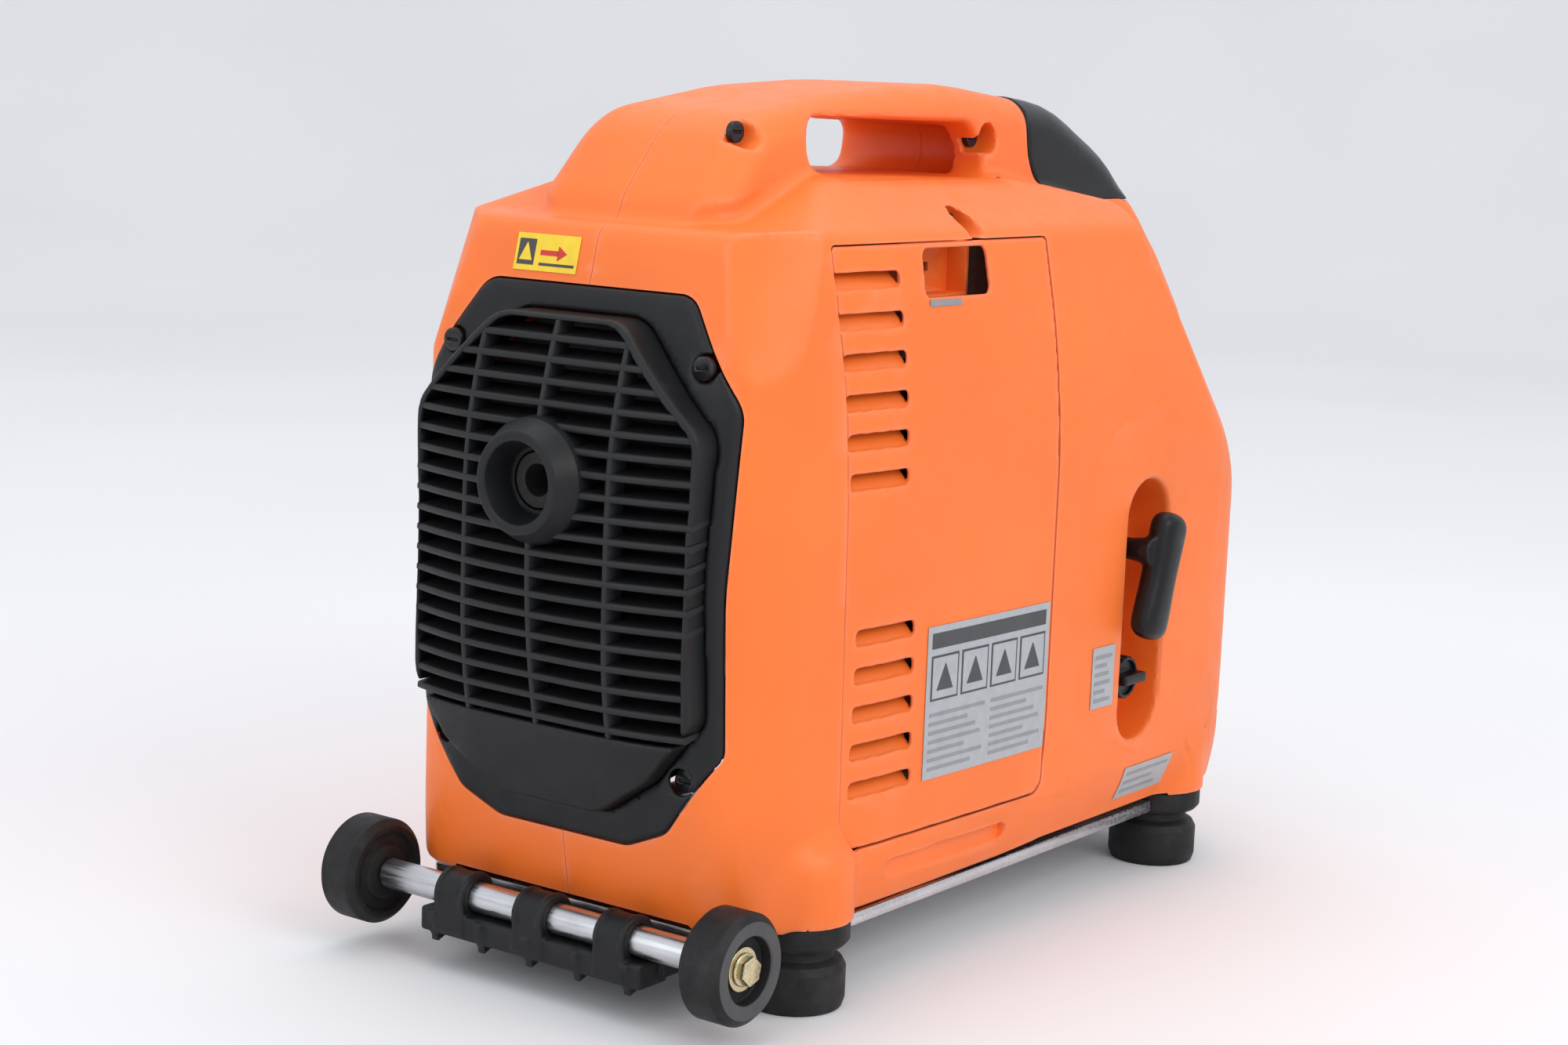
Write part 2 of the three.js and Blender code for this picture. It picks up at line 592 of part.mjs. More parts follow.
node('control_panel', panelPlate(), CHARCOAL);
SOCKET_Y.forEach((y, i) => {
  const pins = [-9.5, 9.5].map((dz) => cylinder('x', [0, y, SOCKET_Z + dz], 2.6, 280, 300, 10));
  node(`ac_socket_${i + 1}`, cylinder('x', [0, y, SOCKET_Z], SOCKET_R, 268, PANEL_FACE + 1)
    .subtract(cylinder('x', [0, y, SOCKET_Z], SOCKET_R - 3, PANEL_FACE - 11, 300))
    .subtract(union(pins).translate([-8, 0, 0])), GLOSS_BLACK);
});
node('dc_socket', cylinder('x', [0, DC_SOCKET.y, DC_SOCKET.z], DC_SOCKET.r, 270, PANEL_FACE + 1)
  .subtract(cylinder('x', [0, DC_SOCKET.y, DC_SOCKET.z], DC_SOCKET.r - 3, 276, 300)), GLOSS_BLACK);
const ROCKER = [
  [284, SWITCH_Z - 9, 0], [290, SWITCH_Z - 10, 0], [291, SWITCH_Z, 30], [294.5, SWITCH_Z + 9.5, 0],
  [284, SWITCH_Z + 9, 0],
];
for (const { name, y, look } of SWITCHES) node(name, prism('y', ROCKER, y - 7, y + 7), look);
const breakerAt = [0, BREAKER.y, BREAKER.z];
node('breaker_button', cylinder('x', breakerAt, BREAKER.r - 0.4, 282, 295, 16), WHITE_PLASTIC);
const LAMPS = rectangle(-24, LAMP_Z - 4, 24, LAMP_Z + 4, 3.9);
node('lamp_strip', prism('x', LAMPS, PANEL_FACE + 0.3, PANEL_FACE + 2), GREEN);

// ---------------------------------------------------------------- base, feet
const BASE_LOW = 38;
node('base_pan', prism('z', PLAN, BASE_LOW, SKIRT_LOW - GAP, 6)
  .intersect(box(-236, 280, -127, 127, 0, 100))
  .subtract(union(FOOT_X.flatMap((x) => [-1, 1].map((side) => (
    cylinder('z', [x, side * FOOT_Y, 0], FOOT_R + 3, 20, 100)))))), STEEL);
FOOT_X.forEach((x, i) => [-1, 1].forEach((side, k) => {
  const foot = turned('z', [x, side * FOOT_Y, 0], [[8, 0], [26.5, 0], [28.2, 4], [28.2, 22], [26, 27],
    [21.5, 30], [21.5, 34], [FOOT_R, 38], [FOOT_R, FOOT_TOP], [8, FOOT_TOP], [8, 0]], 20);
  node(`foot_${['rear', 'front'][i]}_${['right', 'left'][k]}`, foot, RUBBER);
}));

// ---------------------------------------------------------------- transport wheels
const CLAMP_Y = [-58, 0, 58];
const CLAMP_HALF = 11;
const TOOTH_Y = [-70, -35, 0, 35, 70];

function bracket() {
  let body = box(-262, -206, -84, 84, 25, 37.4).add(box(-278, -262, -80, 80, 21, 35));
  for (const y of CLAMP_Y) {
    body = body.add(cylinder('y', [WHEEL_X, 0, WHEEL_Z], 13, y - CLAMP_HALF, y + CLAMP_HALF, 14));
    body = body.add(box(WHEEL_X - 13, WHEEL_X + 12, y - CLAMP_HALF, y + CLAMP_HALF, 24, WHEEL_Z));
  }
  for (const y of TOOTH_Y) {
    const tooth = [[-280, 34], [-276, 16], [-262, 21.2], [-262, 34]];
    body = body.add(prism('y', tooth, y - 2.5, y + 2.5));
  }
  return body.subtract(cylinder('y', [WHEEL_X, 0, WHEEL_Z], AXLE_R + GAP, -90, 90, 24));
}

node('wheel_bracket', bracket(), CHARCOAL);
const TUBE_END = WHEEL_Y - WHEEL_WIDTH / 2 - 1.5;
node('axle_tube', ring('y', [WHEEL_X, 0, WHEEL_Z], BOLT_R + GAP, AXLE_R, -TUBE_END, TUBE_END), STEEL);
[-1, 1].forEach((side, k) => {
  const hand = ['right', 'left'][k];
  const at = [WHEEL_X, side * WHEEL_Y, WHEEL_Z];
  const half = WHEEL_WIDTH / 2;
  const profile = [[BOLT_R + 0.5, -half], [14, -half], [16, -half + 4], [22, -half + 4], [24, -half],
    [26, -half], [WHEEL_R, -half + 4.4], [WHEEL_R, half - 4.4], [26, half], [19, half], [18, half - 7],
    [BOLT_R + 0.5, half - 7], [BOLT_R + 0.5, -half]];
  const facing = profile.map(([r, h]) => [r, side * h]);
  node(`wheel_${hand}`, turned('y', at, side > 0 ? facing : facing.reverse(), 24), RUBBER);
  const seat = half - 6.6;
  const span = (from, to) => [Math.min(side * from, side * to), Math.max(side * from, side * to)];
  node(`axle_washer_${hand}`, ring('y', at, BOLT_R + 0.4, 12, ...span(seat, seat + 1.8), 16), ZINC);
  node(`axle_bolt_${hand}`, cylinder('y', at, BOLT_R, ...span(-half - 26, seat + 3), 16)
    .add(cylinder('y', at, 8, ...span(seat + 2.1, seat + 8), 6)), ZINC);
});

export default machine;
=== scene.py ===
"""Looks for a portable inverter generator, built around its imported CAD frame.

Lengths are in millimetres along the casing's own axes: X runs towards the control panel, -Y is the
starter side and Z is up. place() turns them into the frame's metres.
"""
import json
import math

import bmesh
import bpy
import numpy as np
import openvdb
from mathutils import Matrix, Vector


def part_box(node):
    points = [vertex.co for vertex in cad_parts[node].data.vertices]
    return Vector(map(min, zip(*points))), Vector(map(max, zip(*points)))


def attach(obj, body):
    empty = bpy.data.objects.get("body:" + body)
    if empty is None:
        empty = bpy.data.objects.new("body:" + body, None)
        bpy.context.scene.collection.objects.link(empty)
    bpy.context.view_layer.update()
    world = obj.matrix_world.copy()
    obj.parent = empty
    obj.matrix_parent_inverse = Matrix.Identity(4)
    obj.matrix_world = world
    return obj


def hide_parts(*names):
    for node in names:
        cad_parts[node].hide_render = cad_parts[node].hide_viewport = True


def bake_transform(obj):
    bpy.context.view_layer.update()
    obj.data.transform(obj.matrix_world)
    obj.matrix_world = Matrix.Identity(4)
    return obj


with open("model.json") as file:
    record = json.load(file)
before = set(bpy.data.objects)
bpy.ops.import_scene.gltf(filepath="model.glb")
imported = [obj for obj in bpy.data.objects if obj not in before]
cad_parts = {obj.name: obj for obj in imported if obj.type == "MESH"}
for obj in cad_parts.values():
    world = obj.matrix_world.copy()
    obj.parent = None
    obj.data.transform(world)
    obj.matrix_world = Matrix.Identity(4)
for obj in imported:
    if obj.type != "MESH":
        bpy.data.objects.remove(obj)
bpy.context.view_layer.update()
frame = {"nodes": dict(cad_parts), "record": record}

# ------------------------ places taken from the frame
REAR, FRONT = -261, 297
MM = 0.001
SEAM_Y = (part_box("left_shell")[0].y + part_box("right_shell")[1].y) / 2 / MM
SHIFT = np.array([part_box("left_shell")[1].x / MM - FRONT, SEAM_Y, 0.0])


def place(points):
    """The frame's metres for points in the casing's millimetres."""
    return (np.asarray(points, float) + SHIFT) * MM


def spot(x, y, z):
    return Vector(place([x, y, z]))


# ------------------------ casing dimensions
TOP = 502
SKIRT_LOW = 46
SHOULDER = 421
HALF_REAR = 122
HALF_WIDTH = 150
HUMP_REAR = -217
CORNER = 88
WALL = 3
SEAM = 0.45
LID_HALF = 69
FOOT_X = (-184, 217)
FOOT_Y = 113
FOOT_TOP = 49.5
WHEEL_X, WHEEL_Y, WHEEL_Z = -266, 130.5, 44
WHEEL_R = 30.4
WHEEL_HALF = 13.5
EXHAUST_Z = 286
ROPE_X, ROPE_Z = 118, 222
POCKET_FLOOR = -116
KNOB_X, KNOB_Z = 121, 140
FOOT_R = 30
PORT_R = 6


def both_sides(half):
    """The outline of a shape that is the same on both sides of its middle."""
    return half + [(-x, y, r) for x, y, r in reversed(half)]


def rectangle(x0, y0, x1, y1, r=0.0):
    return [(x0, y0, r), (x1, y0, r), (x1, y1, r), (x0, y1, r)]


# Each outline is a list of corners (across, up, corner radius), anticlockwise.
PLAN = [
    (REAR, HALF_REAR, 60), (REAR, -HALF_REAR, 60), (0, -HALF_WIDTH, 2600),
    (FRONT, 1 - HALF_WIDTH, CORNER), (FRONT, HALF_WIDTH - 1, CORNER), (0, HALF_WIDTH, 2600),
]
BODY_SIDE = [
    (-243, SKIRT_LOW, 6), (283, SKIRT_LOW, 6), (FRONT, 66, 20), (FRONT, 250, 80), (245, 345, 90),
    (150, 432, 60), (40, 451, 80), (-136, 451, 70), (-200, 424, 30), (-232, SHOULDER, 12),
    (REAR, 300, 250), (REAR, 150, 250),
]
BODY_END = both_sides([
    (128, SKIRT_LOW, 6), (145, 84, 12), (HALF_WIDTH, 130, 60), (HALF_WIDTH, 290, 160),
    (124, SHOULDER, 14), (78, 450, 40), (30, 456, 100),
])
HUMP_SIDE = [
    (HUMP_REAR, 245, 0), (238, 245, 0), (240, 400, 45), (231, 430, 50), (202, 460, 100),
    (140, 490, 120), (18, TOP, 300), (-80, 496, 200), (-176, 481, 55), (HUMP_REAR, 432, 30),
]
HUMP_END = both_sides([
    (138, 245, 0), (118, 330, 0), (104, 364, 60), (80, 408, 40), (66, 440, 30),
    (62, 474, 20), (60, 600, 0),
])
HUMP_PLAN = [
    (HUMP_REAR, 66, 26), (HUMP_REAR, -66, 26), (60, -66, 0), (120, 1 - HALF_WIDTH, 0),
    (FRONT, 1 - HALF_WIDTH, CORNER), (FRONT, HALF_WIDTH - 1, CORNER), (120, HALF_WIDTH - 1, 0),
    (60, 66, 0),
]
BEZEL = both_sides([
    (46, 89, 20), (74, 101, 16), (107, 147, 14), (105, 232, 150), (110, 332, 22), (72, 388, 16),
])
HAND_HOLE = [(-130, 450, 14), (66, 446, 12), (34, 479, 16), (-130, 481, 16)]
FAR_HAND_HOLE = [(-130, 450, 14), (74, 447, 12), (74, 476, 12), (-130, 481, 16)]
FAR_HOLE_START = -40
COVER = [(-173, 85, 14), (22, 85, 10), (22, 416, 3), (-192, 416, 3), (-177, 300, 400)]
STARTER_POCKET = rectangle(105, 100, 153, 265, 23.9)
SKIRT_SLOT = rectangle(-127, 62, -8, 72, 4.9)
LID_EDGE = [(97, 431, 34), (330, 431, 0), (330, 560, 0), (97, 560, 0)]
PANEL = rectangle(-84, 104, 84, 254, 14)
INFO_LABEL = (-102, 114, 19, 202)
WARNING_LABEL = (11, 393, 56, 413)
DEEP_SCREWS = ((-178, 472, -61), (54, 470, -62), (-50, 424, -116))
CHOKE_WINDOW = rectangle(-108, 386, -44, 412, 5)
GRILLE_FRAME = both_sides([
    (36, 107, 18), (72, 131, 20), (99, 165, 20), (95, 240, 200), (100, 318, 20), (44, 374, 24),
])
VENT = both_sides([(93, 154, 6), (93, 240, 200), (95, 316, 20), (40, 370, 20)])

# ------------------------ outlines and distances
ARC_STEP = math.pi / 20


def rounded(outline, grow=0.0, step=ARC_STEP):
    """The outline's points, with each corner rounded by its radius, moved outwards by grow."""
    points = []
    count = len(outline)
    for i, (x, y, r) in enumerate(outline):
        px, py, _ = outline[i - 1]
        qx, qy, _ = outline[(i + 1) % count]
        a = Vector((x - px, y - py)).normalized()
        b = Vector((qx - x, qy - y)).normalized()
        turn = math.atan2(a.x * b.y - a.y * b.x, a.dot(b))
        share = grow / (1 + a.dot(b))
        corner = Vector((x + (a.y + b.y) * share, y - (a.x + b.x) * share))
        side = math.copysign(1, turn)
        radius = max(r + side * grow, 0.4) if r > 0 else 0
        steps = max(1, math.ceil(abs(turn) / step)) if r > 0 else 0
        centre = corner - a * radius * math.tan(abs(turn) / 2) + Vector((-a.y, a.x)) * radius * side
        for k in range(steps + 1):
            spoke = Vector((a.y, -a.x)) * radius * side
            spoke.rotate(Matrix.Rotation(turn * k / max(steps, 1), 2))
            points.append(centre + spoke if steps else corner)
    return np.array(points)


def outline_distance(points, u, v):
    """The signed distance from a closed outline, negative inside."""
    u, v = np.broadcast_arrays(u, v)
    nearest = np.full(u.shape, np.inf, np.float32)
    inside = np.zeros(u.shape, bool)
    for (ax, ay), (bx, by) in zip(points, np.roll(points, -1, axis=0)):
        ex, ey = bx - ax, by - ay
        length = ex * ex + ey * ey
        if length < 1e-9:
            continue
        pu, pv = u - ax, v - ay
        t = np.clip((pu * ex + pv * ey) / length, 0, 1)
        nearest = np.minimum(nearest, (pu - ex * t) ** 2 + (pv - ey * t) ** 2)
        if ey:
            inside ^= ((ay > v) != (by > v)) & (pu < pv * ex / ey)
    return np.where(inside, -1, 1) * np.sqrt(nearest)


def meet(radius, *distances):
    """The space that the shapes share, with its edges rounded."""
    beyond = sum(np.maximum(d + radius, 0) ** 2 for d in distances)
    most = distances[0]
    for d in distances[1:]:
        most = np.maximum(most, d)
    return np.minimum(most, -radius) + np.sqrt(beyond)


def join(radius, a, b):
    """Both shapes together, with a fillet between them."""
    return -meet(radius, -a, -b)


def slab(value, low, high):
    return np.maximum(low - value, value - high)


class Space:
    """A grid of places in a box, on which shapes are given as distances."""

    def __init__(self, low, high, pitch):
        self.low, self.pitch = np.array(low, float), pitch
        axes = [np.arange(a, b + pitch, pitch, dtype=np.float32) for a, b in zip(low, high)]
        self.x, self.y, self.z = axes[0][:, None, None], axes[1][None, :, None], axes[2][None, None, :]
        self.shape = tuple(len(a) for a in axes)

    def along_y(self, outline, grow=0.0):
        return outline_distance(rounded(outline, grow), self.x, self.z)

    def along_x(self, outline, grow=0.0):
        return outline_distance(rounded(outline, grow), self.y, self.z)

    def along_z(self, outline, grow=0.0):
        return outline_distance(rounded(outline, grow), self.x, self.y)

    def pillar(self, x, y):
        return np.hypot(self.x - x, self.y - y)

    def bar_along_y(self, x, z):
        return np.hypot(self.x - x, self.z - z)

    def surface(self, distance, adaptivity):
        """The points and faces of the surface where distance is nought."""
        values = np.ascontiguousarray(np.broadcast_to(distance, self.shape), np.float32)
        grid = openvdb.FloatGrid(background=10.0)
        grid.copyFromArray(np.clip(values / self.pitch, -6, 6))
        points, triangles, quads = grid.convertToPolygons(isovalue=0.0, adaptivity=adaptivity)
        return points * self.pitch + self.low, triangles.tolist() + quads.tolist()


# ------------------------ the casing's form
BODY_EDGE = 11
DOME_EDGE = 4
HUMP_EDGE = 20
HUMP_FOOT = 7
HOLE_EDGE = 6
SKIRT_SLOT_FLOOR = -131

# The corners of the side walls lean inwards: the front ones above the panel, the rear ones
# towards the top.
FRONT_LEAN_FROM, FRONT_LEAN = 270, 0.92
REAR_LEAN_FROM, REAR_LEAN = 355, 0.42
REAR_LEAN_FACE, REAR_LEAN_HALF, REAR_LEAN_R = -277, 128, 100
REAR_TAPER = 33 / 277
LEAN_EASE = 56


def eased(height, slope):
    """A slope that starts at height nought, with its start rounded off."""
    near = np.clip(height + LEAN_EASE / 2, 0, LEAN_EASE)
    return slope * (near ** 2 / (2 * LEAN_EASE) + np.maximum(height - LEAN_EASE / 2, 0))


def leaning_corners(s):
    """The space inside the leaning corners."""
    across = np.abs(s.y)
    x = s.x + eased(s.z - FRONT_LEAN_FROM, FRONT_LEAN)
    front = meet(CORNER, x - FRONT, across - HALF_WIDTH + 1) / math.hypot(1, FRONT_LEAN)
    x = s.x - REAR_LEAN * (s.z - REAR_LEAN_FROM)
    side = (across - REAR_LEAN_HALF - (x - REAR_LEAN_FACE) * REAR_TAPER) / math.hypot(1, REAR_TAPER)
    rear = meet(REAR_LEAN_R, REAR_LEAN_FACE - x, side) / math.hypot(1, REAR_LEAN)
    return np.maximum(front, rear)


def casing(s):
    """The whole casing as one body without openings."""
    body = meet(BODY_EDGE, s.along_z(PLAN), meet(DOME_EDGE, s.along_y(BODY_SIDE), s.along_x(BODY_END)))
    body = np.maximum(body, leaning_corners(s))
    hump = meet(HUMP_EDGE, s.along_y(HUMP_SIDE), s.along_x(HUMP_END))
    hump = np.maximum(hump, s.along_z(HUMP_PLAN))
    return join(HUMP_FOOT, body, hump)


BOSS_R = 31.5
BOSS_TOP = 98
SCREW_WELL_R = 9
SCREW_WELL_DEPTH = 16


def with_bosses(s, whole):
    """The casing with the four round bosses that the feet fit."""
    for x in FOOT_X:
        for y in (-FOOT_Y, FOOT_Y):
            away = s.pillar(x, y)
            dome = meet(20, away - BOSS_R, s.z - BOSS_TOP)
            whole = join(8, whole, np.maximum(dome, SKIRT_LOW + 3 - s.z))
    return whole


def with_recesses(s, whole):
    """The casing with the hand hole, the pockets and the deep screw wells cut into it."""
    far_hole = np.maximum(s.along_y(FAR_HAND_HOLE), FAR_HOLE_START - s.y)
    whole = meet(HOLE_EDGE, whole, -np.minimum(s.along_y(HAND_HOLE), far_hole))
    skirt_slot = np.maximum(s.along_y(SKIRT_SLOT), s.y - SKIRT_SLOT_FLOOR)
    whole = meet(1.0, whole, -skirt_slot)
    pocket = np.maximum(s.along_y(STARTER_POCKET), s.y - POCKET_FLOOR)
    whole = meet(3.5, whole, -pocket)
    for x, z, face in DEEP_SCREWS:
        well = np.maximum(s.bar_along_y(x, z) - SCREW_WELL_R, s.y - face - SCREW_WELL_DEPTH)
        whole = meet(1.6, whole, -well)
    return whole


# ------------------------ meshes
def add_object(name, data):
    made = bpy.data.objects.new(name, data)
    bpy.context.scene.collection.objects.link(made)
    return made


def mesh_object(name, points, faces, smooth=True):
    mesh = bpy.data.meshes.new(name)
    mesh.from_pydata(place(points).tolist(), [], faces)
    mesh.validate()
    mesh.update()
    if smooth:
        mesh.shade_smooth()
    return add_object(name, mesh)


def prism(axis, outline, low, high, grow=0.0, step=ARC_STEP):
    """The points and faces of an outline carried along an axis."""
    points = rounded(outline, grow, step)
    count = len(points)
    if axis == "x":
        rows = [[(level, u, v) for u, v in points] for level in (low, high)]
    elif axis == "y":
        rows = [[(u, level, v) for u, v in points] for level in (high, low)]
    else:
        rows = [[(u, v, level) for u, v in points] for level in (low, high)]
    faces = [tuple(range(count))[::-1], tuple(range(count, 2 * count))]
    for i in range(count):
        j = (i + 1) % count
        faces.append((i, j, count + j, count + i))
    return rows[0] + rows[1], faces


def whole_turn(steps):
    return [2 * math.pi * k / steps for k in range(steps)]


def bar(axis, at, radius, low, high, segments=48):
    """The points and faces of a round bar along an axis; at is its place across that axis."""
    ring = [(at[0] + radius * math.cos(t), at[1] + radius * math.sin(t), 0)
            for t in whole_turn(segments)]
    return prism(axis, ring, low, high)


def block(x0, x1, y0, y1, z0, z1):
    return prism("z", rectangle(x0, y0, x1, y1), z0, z1)


def boolean(target, shape, operation):
    """Cuts a shape of points and faces from target, or keeps only what they share."""
    tool = mesh_object("tool", *shape, smooth=False)
    modifier = target.modifiers.new("cut", "BOOLEAN")
    modifier.operation = operation
    modifier.solver = "MANIFOLD"
    modifier.object = tool
    apply_modifiers(target)
    bpy.data.objects.remove(tool)


def cut(target, *shapes):
    for shape in shapes:
        boolean(target, shape, "DIFFERENCE")


def keep(target, shape):
    boolean(target, shape, "INTERSECT")


def apply_modifiers(target):
    graph = bpy.context.evaluated_depsgraph_get()
    made = bpy.data.meshes.new_from_object(target.evaluated_get(graph))
    target.modifiers.clear()
    old = target.data
    target.data = made
    bpy.data.meshes.remove(old)


def soften(target, degrees=32):
    """Smooth shading with the real edges kept crisp."""
    target.data.shade_smooth()
    target.data.set_sharp_from_angle(angle=math.radians(degrees))


def finish_piece(target, body, node):
    """Gives a piece its body and the look and slot of the CAD node that it stands for."""
    target.data.materials.clear()
    target.data.materials.append(look_of(node))
    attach(target, body)
    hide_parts(node)


def join_objects(name, parts):
    """One object of several, each keeping its own materials."""
    with bpy.context.temp_override(active_object=parts[0], selected_editable_objects=parts):
        bpy.ops.object.join()
    parts[0].name = name
    return parts[0]


# ------------------------ materials
class Look:
    """A principled material that is built up node by node."""

    def __init__(self, name, color, roughness, metallic=0.0, specular=0.5):
        self.material = bpy.data.materials.new(name)
        self.material.use_nodes = True
        self.tree = self.material.node_tree
        self.shader = self.tree.nodes["Principled BSDF"]
        self.color = color
        self.set("Base Color", (*color, 1))
        self.set("Roughness", roughness)
        self.set("Metallic", metallic)
        self.set("Specular IOR Level", specular)
        self.place = self.node("ShaderNodeTexCoord").outputs["Object"]

    def set(self, socket, value):
        self.shader.inputs[socket].default_value = value

    def node(self, kind, **settings):
        made = self.tree.nodes.new(kind)
        for key, value in settings.items():
            setattr(made, key, value)
        return made

    def link(self, a, b):
        self.tree.links.new(a, b)

    def noise(self, scale, detail=3.0, stretch=(1, 1, 1), roughness=0.5):
        """Noise with this many patches to a metre."""
        mapping = self.node("ShaderNodeMapping")
        mapping.inputs["Scale"].default_value = stretch
        self.link(self.place, mapping.inputs["Vector"])
        texture = self.node("ShaderNodeTexNoise")
        texture.inputs["Scale"].default_value = scale
        texture.inputs["Detail"].default_value = detail
        texture.inputs["Roughness"].default_value = roughness
        self.link(mapping.outputs["Vector"], texture.inputs["Vector"])
        return texture.outputs["Fac"]

    def spread(self, value, low, high, from_low=0.3, from_high=0.7):
        """A value between low and high."""
        remap = self.node("ShaderNodeMapRange")
        limits = {"From Min": from_low, "From Max": from_high, "To Min": low, "To Max": high}
        for name, number in limits.items():
            remap.inputs[name].default_value = number
        self.link(value, remap.inputs["Value"])
        return remap.outputs["Result"]

    def mix(self, factor, a, b):
        """A colour between a and b, each a colour or a socket."""
        mixer = self.node("ShaderNodeMix", data_type="RGBA")
        self.link(factor, mixer.inputs["Factor"])
        for socket, value in ((mixer.inputs["A"], a), (mixer.inputs["B"], b)):
            if isinstance(value, tuple):
                socket.default_value = (*value, 1)
            else:
                self.link(value, socket)
        return mixer.outputs["Result"]

    def tones(self, value, low, high):
        """The look's colour between two strengths."""
        return self.mix(self.spread(value, 0, 1), shade(self.color, low), shade(self.color, high))

    def bump(self, height, strength, distance, under=None):
        made = self.node("ShaderNodeBump")
        made.inputs["Strength"].default_value = strength
        made.inputs["Distance"].default_value = distance
        self.link(height, made.inputs["Height"])
        if under:
            self.link(under, made.inputs["Normal"])
        return made.outputs["Normal"]

    def edges(self, low=0.505, high=0.56):
        """How sharply the surface turns outwards, from 0 to 1."""
        geometry = self.node("ShaderNodeNewGeometry")
        return self.spread(geometry.outputs["Pointiness"], 0, 1, low, high)

    def use(self, socket, output):
        self.link(output, self.shader.inputs[socket])


def shade(color, factor):
    return tuple(min(c * factor, 1) for c in color)


ORANGE = (0.93, 0.18, 0.021)
EDGE_PALENESS = 0.18
CHARCOAL = (0.0075, 0.008, 0.0092)
GLOSS_BLACK = (0.005, 0.0055, 0.0065)


def moulded(name, color, roughness, grain=0.00012, grain_scale=1700, variation=0.06, wear=0.35,
             specular=0.5):
    """Moulded plastic with a fine spark-eroded grain, faint sink marks and paler worn edges."""
    look = Look(name, color, roughness, specular=specular)
    clouds = look.noise(9, 4)
    tone = look.tones(clouds, 1 - variation, 1 + variation)
    worn = look.node("ShaderNodeMath", operation="MULTIPLY")
    worn.inputs[1].default_value = wear
    look.link(look.edges(), worn.inputs[0])
    pale = tuple(c + (0.9 - c) * EDGE_PALENESS for c in color)
    look.use("Base Color", look.mix(worn.outputs[0], tone, pale))
    look.use("Roughness", look.spread(look.noise(60, 5), roughness - 0.05, roughness + 0.07))
    waves = look.bump(look.noise(14, 1), 0.12, 0.0008)
    fine = look.bump(look.noise(grain_scale, 2), 0.35, grain, waves)
    look.use("Normal", fine)
    return look.material


def rubbery(name, color, roughness):
    """Matte rubber with dusty patches and a fine pitted skin."""
    look = Look(name, color, roughness, specular=0.35)
    dust = look.spread(look.noise(45, 6, roughness=0.65), 0, 1, 0.48, 0.78)
    look.use("Base Color", look.mix(dust, color, tuple(c + 0.018 for c in color)))
    look.use("Roughness", look.spread(look.noise(110, 4), roughness - 0.1, roughness + 0.1))
    look.use("Normal", look.bump(look.noise(1300, 3), 0.3, 0.00015))
    return look.material


def brushed(name, color, roughness, stretch, tint=0.1, metallic=1.0):
    """Metal with fine drawn lines along one direction and a little tarnish."""
    look = Look(name, color, roughness, metallic)
    lines = look.noise(700, 4, stretch)
    tarnish = look.noise(38, 5)
    bright = look.tones(lines, 1 - tint, 1 + tint)
    look.use("Base Color", look.mix(look.spread(tarnish, 0, 0.35), bright, shade(color, 0.55)))
    look.use("Roughness", look.spread(lines, roughness - 0.08, roughness + 0.12))
    look.use("Normal", look.bump(lines, 0.25, 0.00008))
    return look.material


def cast(name, color, roughness, metallic):
    """As-cast metal: grainy, with darker pits."""
    look = Look(name, color, roughness, metallic)
    grains = look.noise(420, 6, roughness=0.7)
    look.use("Base Color", look.tones(grains, 0.72, 1.08))
    look.use("Roughness", look.spread(grains, roughness + 0.12, roughness - 0.08))
    look.use("Normal", look.bump(grains, 0.5, 0.0004))
    return look.material


def wound(name, color, step):
    """Enamelled wire or braid: fine turns laid side by side."""
    look = Look(name, color, 0.45)
    wave = look.node("ShaderNodeTexWave", wave_type="BANDS", bands_direction="DIAGONAL")
    wave.inputs["Scale"].default_value = 1 / step
    wave.inputs["Distortion"].default_value = 1.2
    look.link(look.place, wave.inputs["Vector"])
    turns = wave.outputs["Fac"]
    look.use("Base Color", look.mix(turns, shade(color, 0.35), shade(color, 1.15)))
    look.use("Normal", look.bump(turns, 0.6, 0.0005))
    return look.material


def foil(name, color, roughness=0.38, metallic=0.35):
    """A printed foil label: slightly mottled, with tiny ripples."""
    look = Look(name, color, roughness, metallic)
    look.use("Base Color", look.tones(look.noise(150, 4), 0.93, 1.04))
    look.use("Roughness", look.spread(look.noise(60, 3), roughness - 0.06, roughness + 0.1))
    look.use("Normal", look.bump(look.noise(75, 2), 0.12, 0.0003))
    return look.material


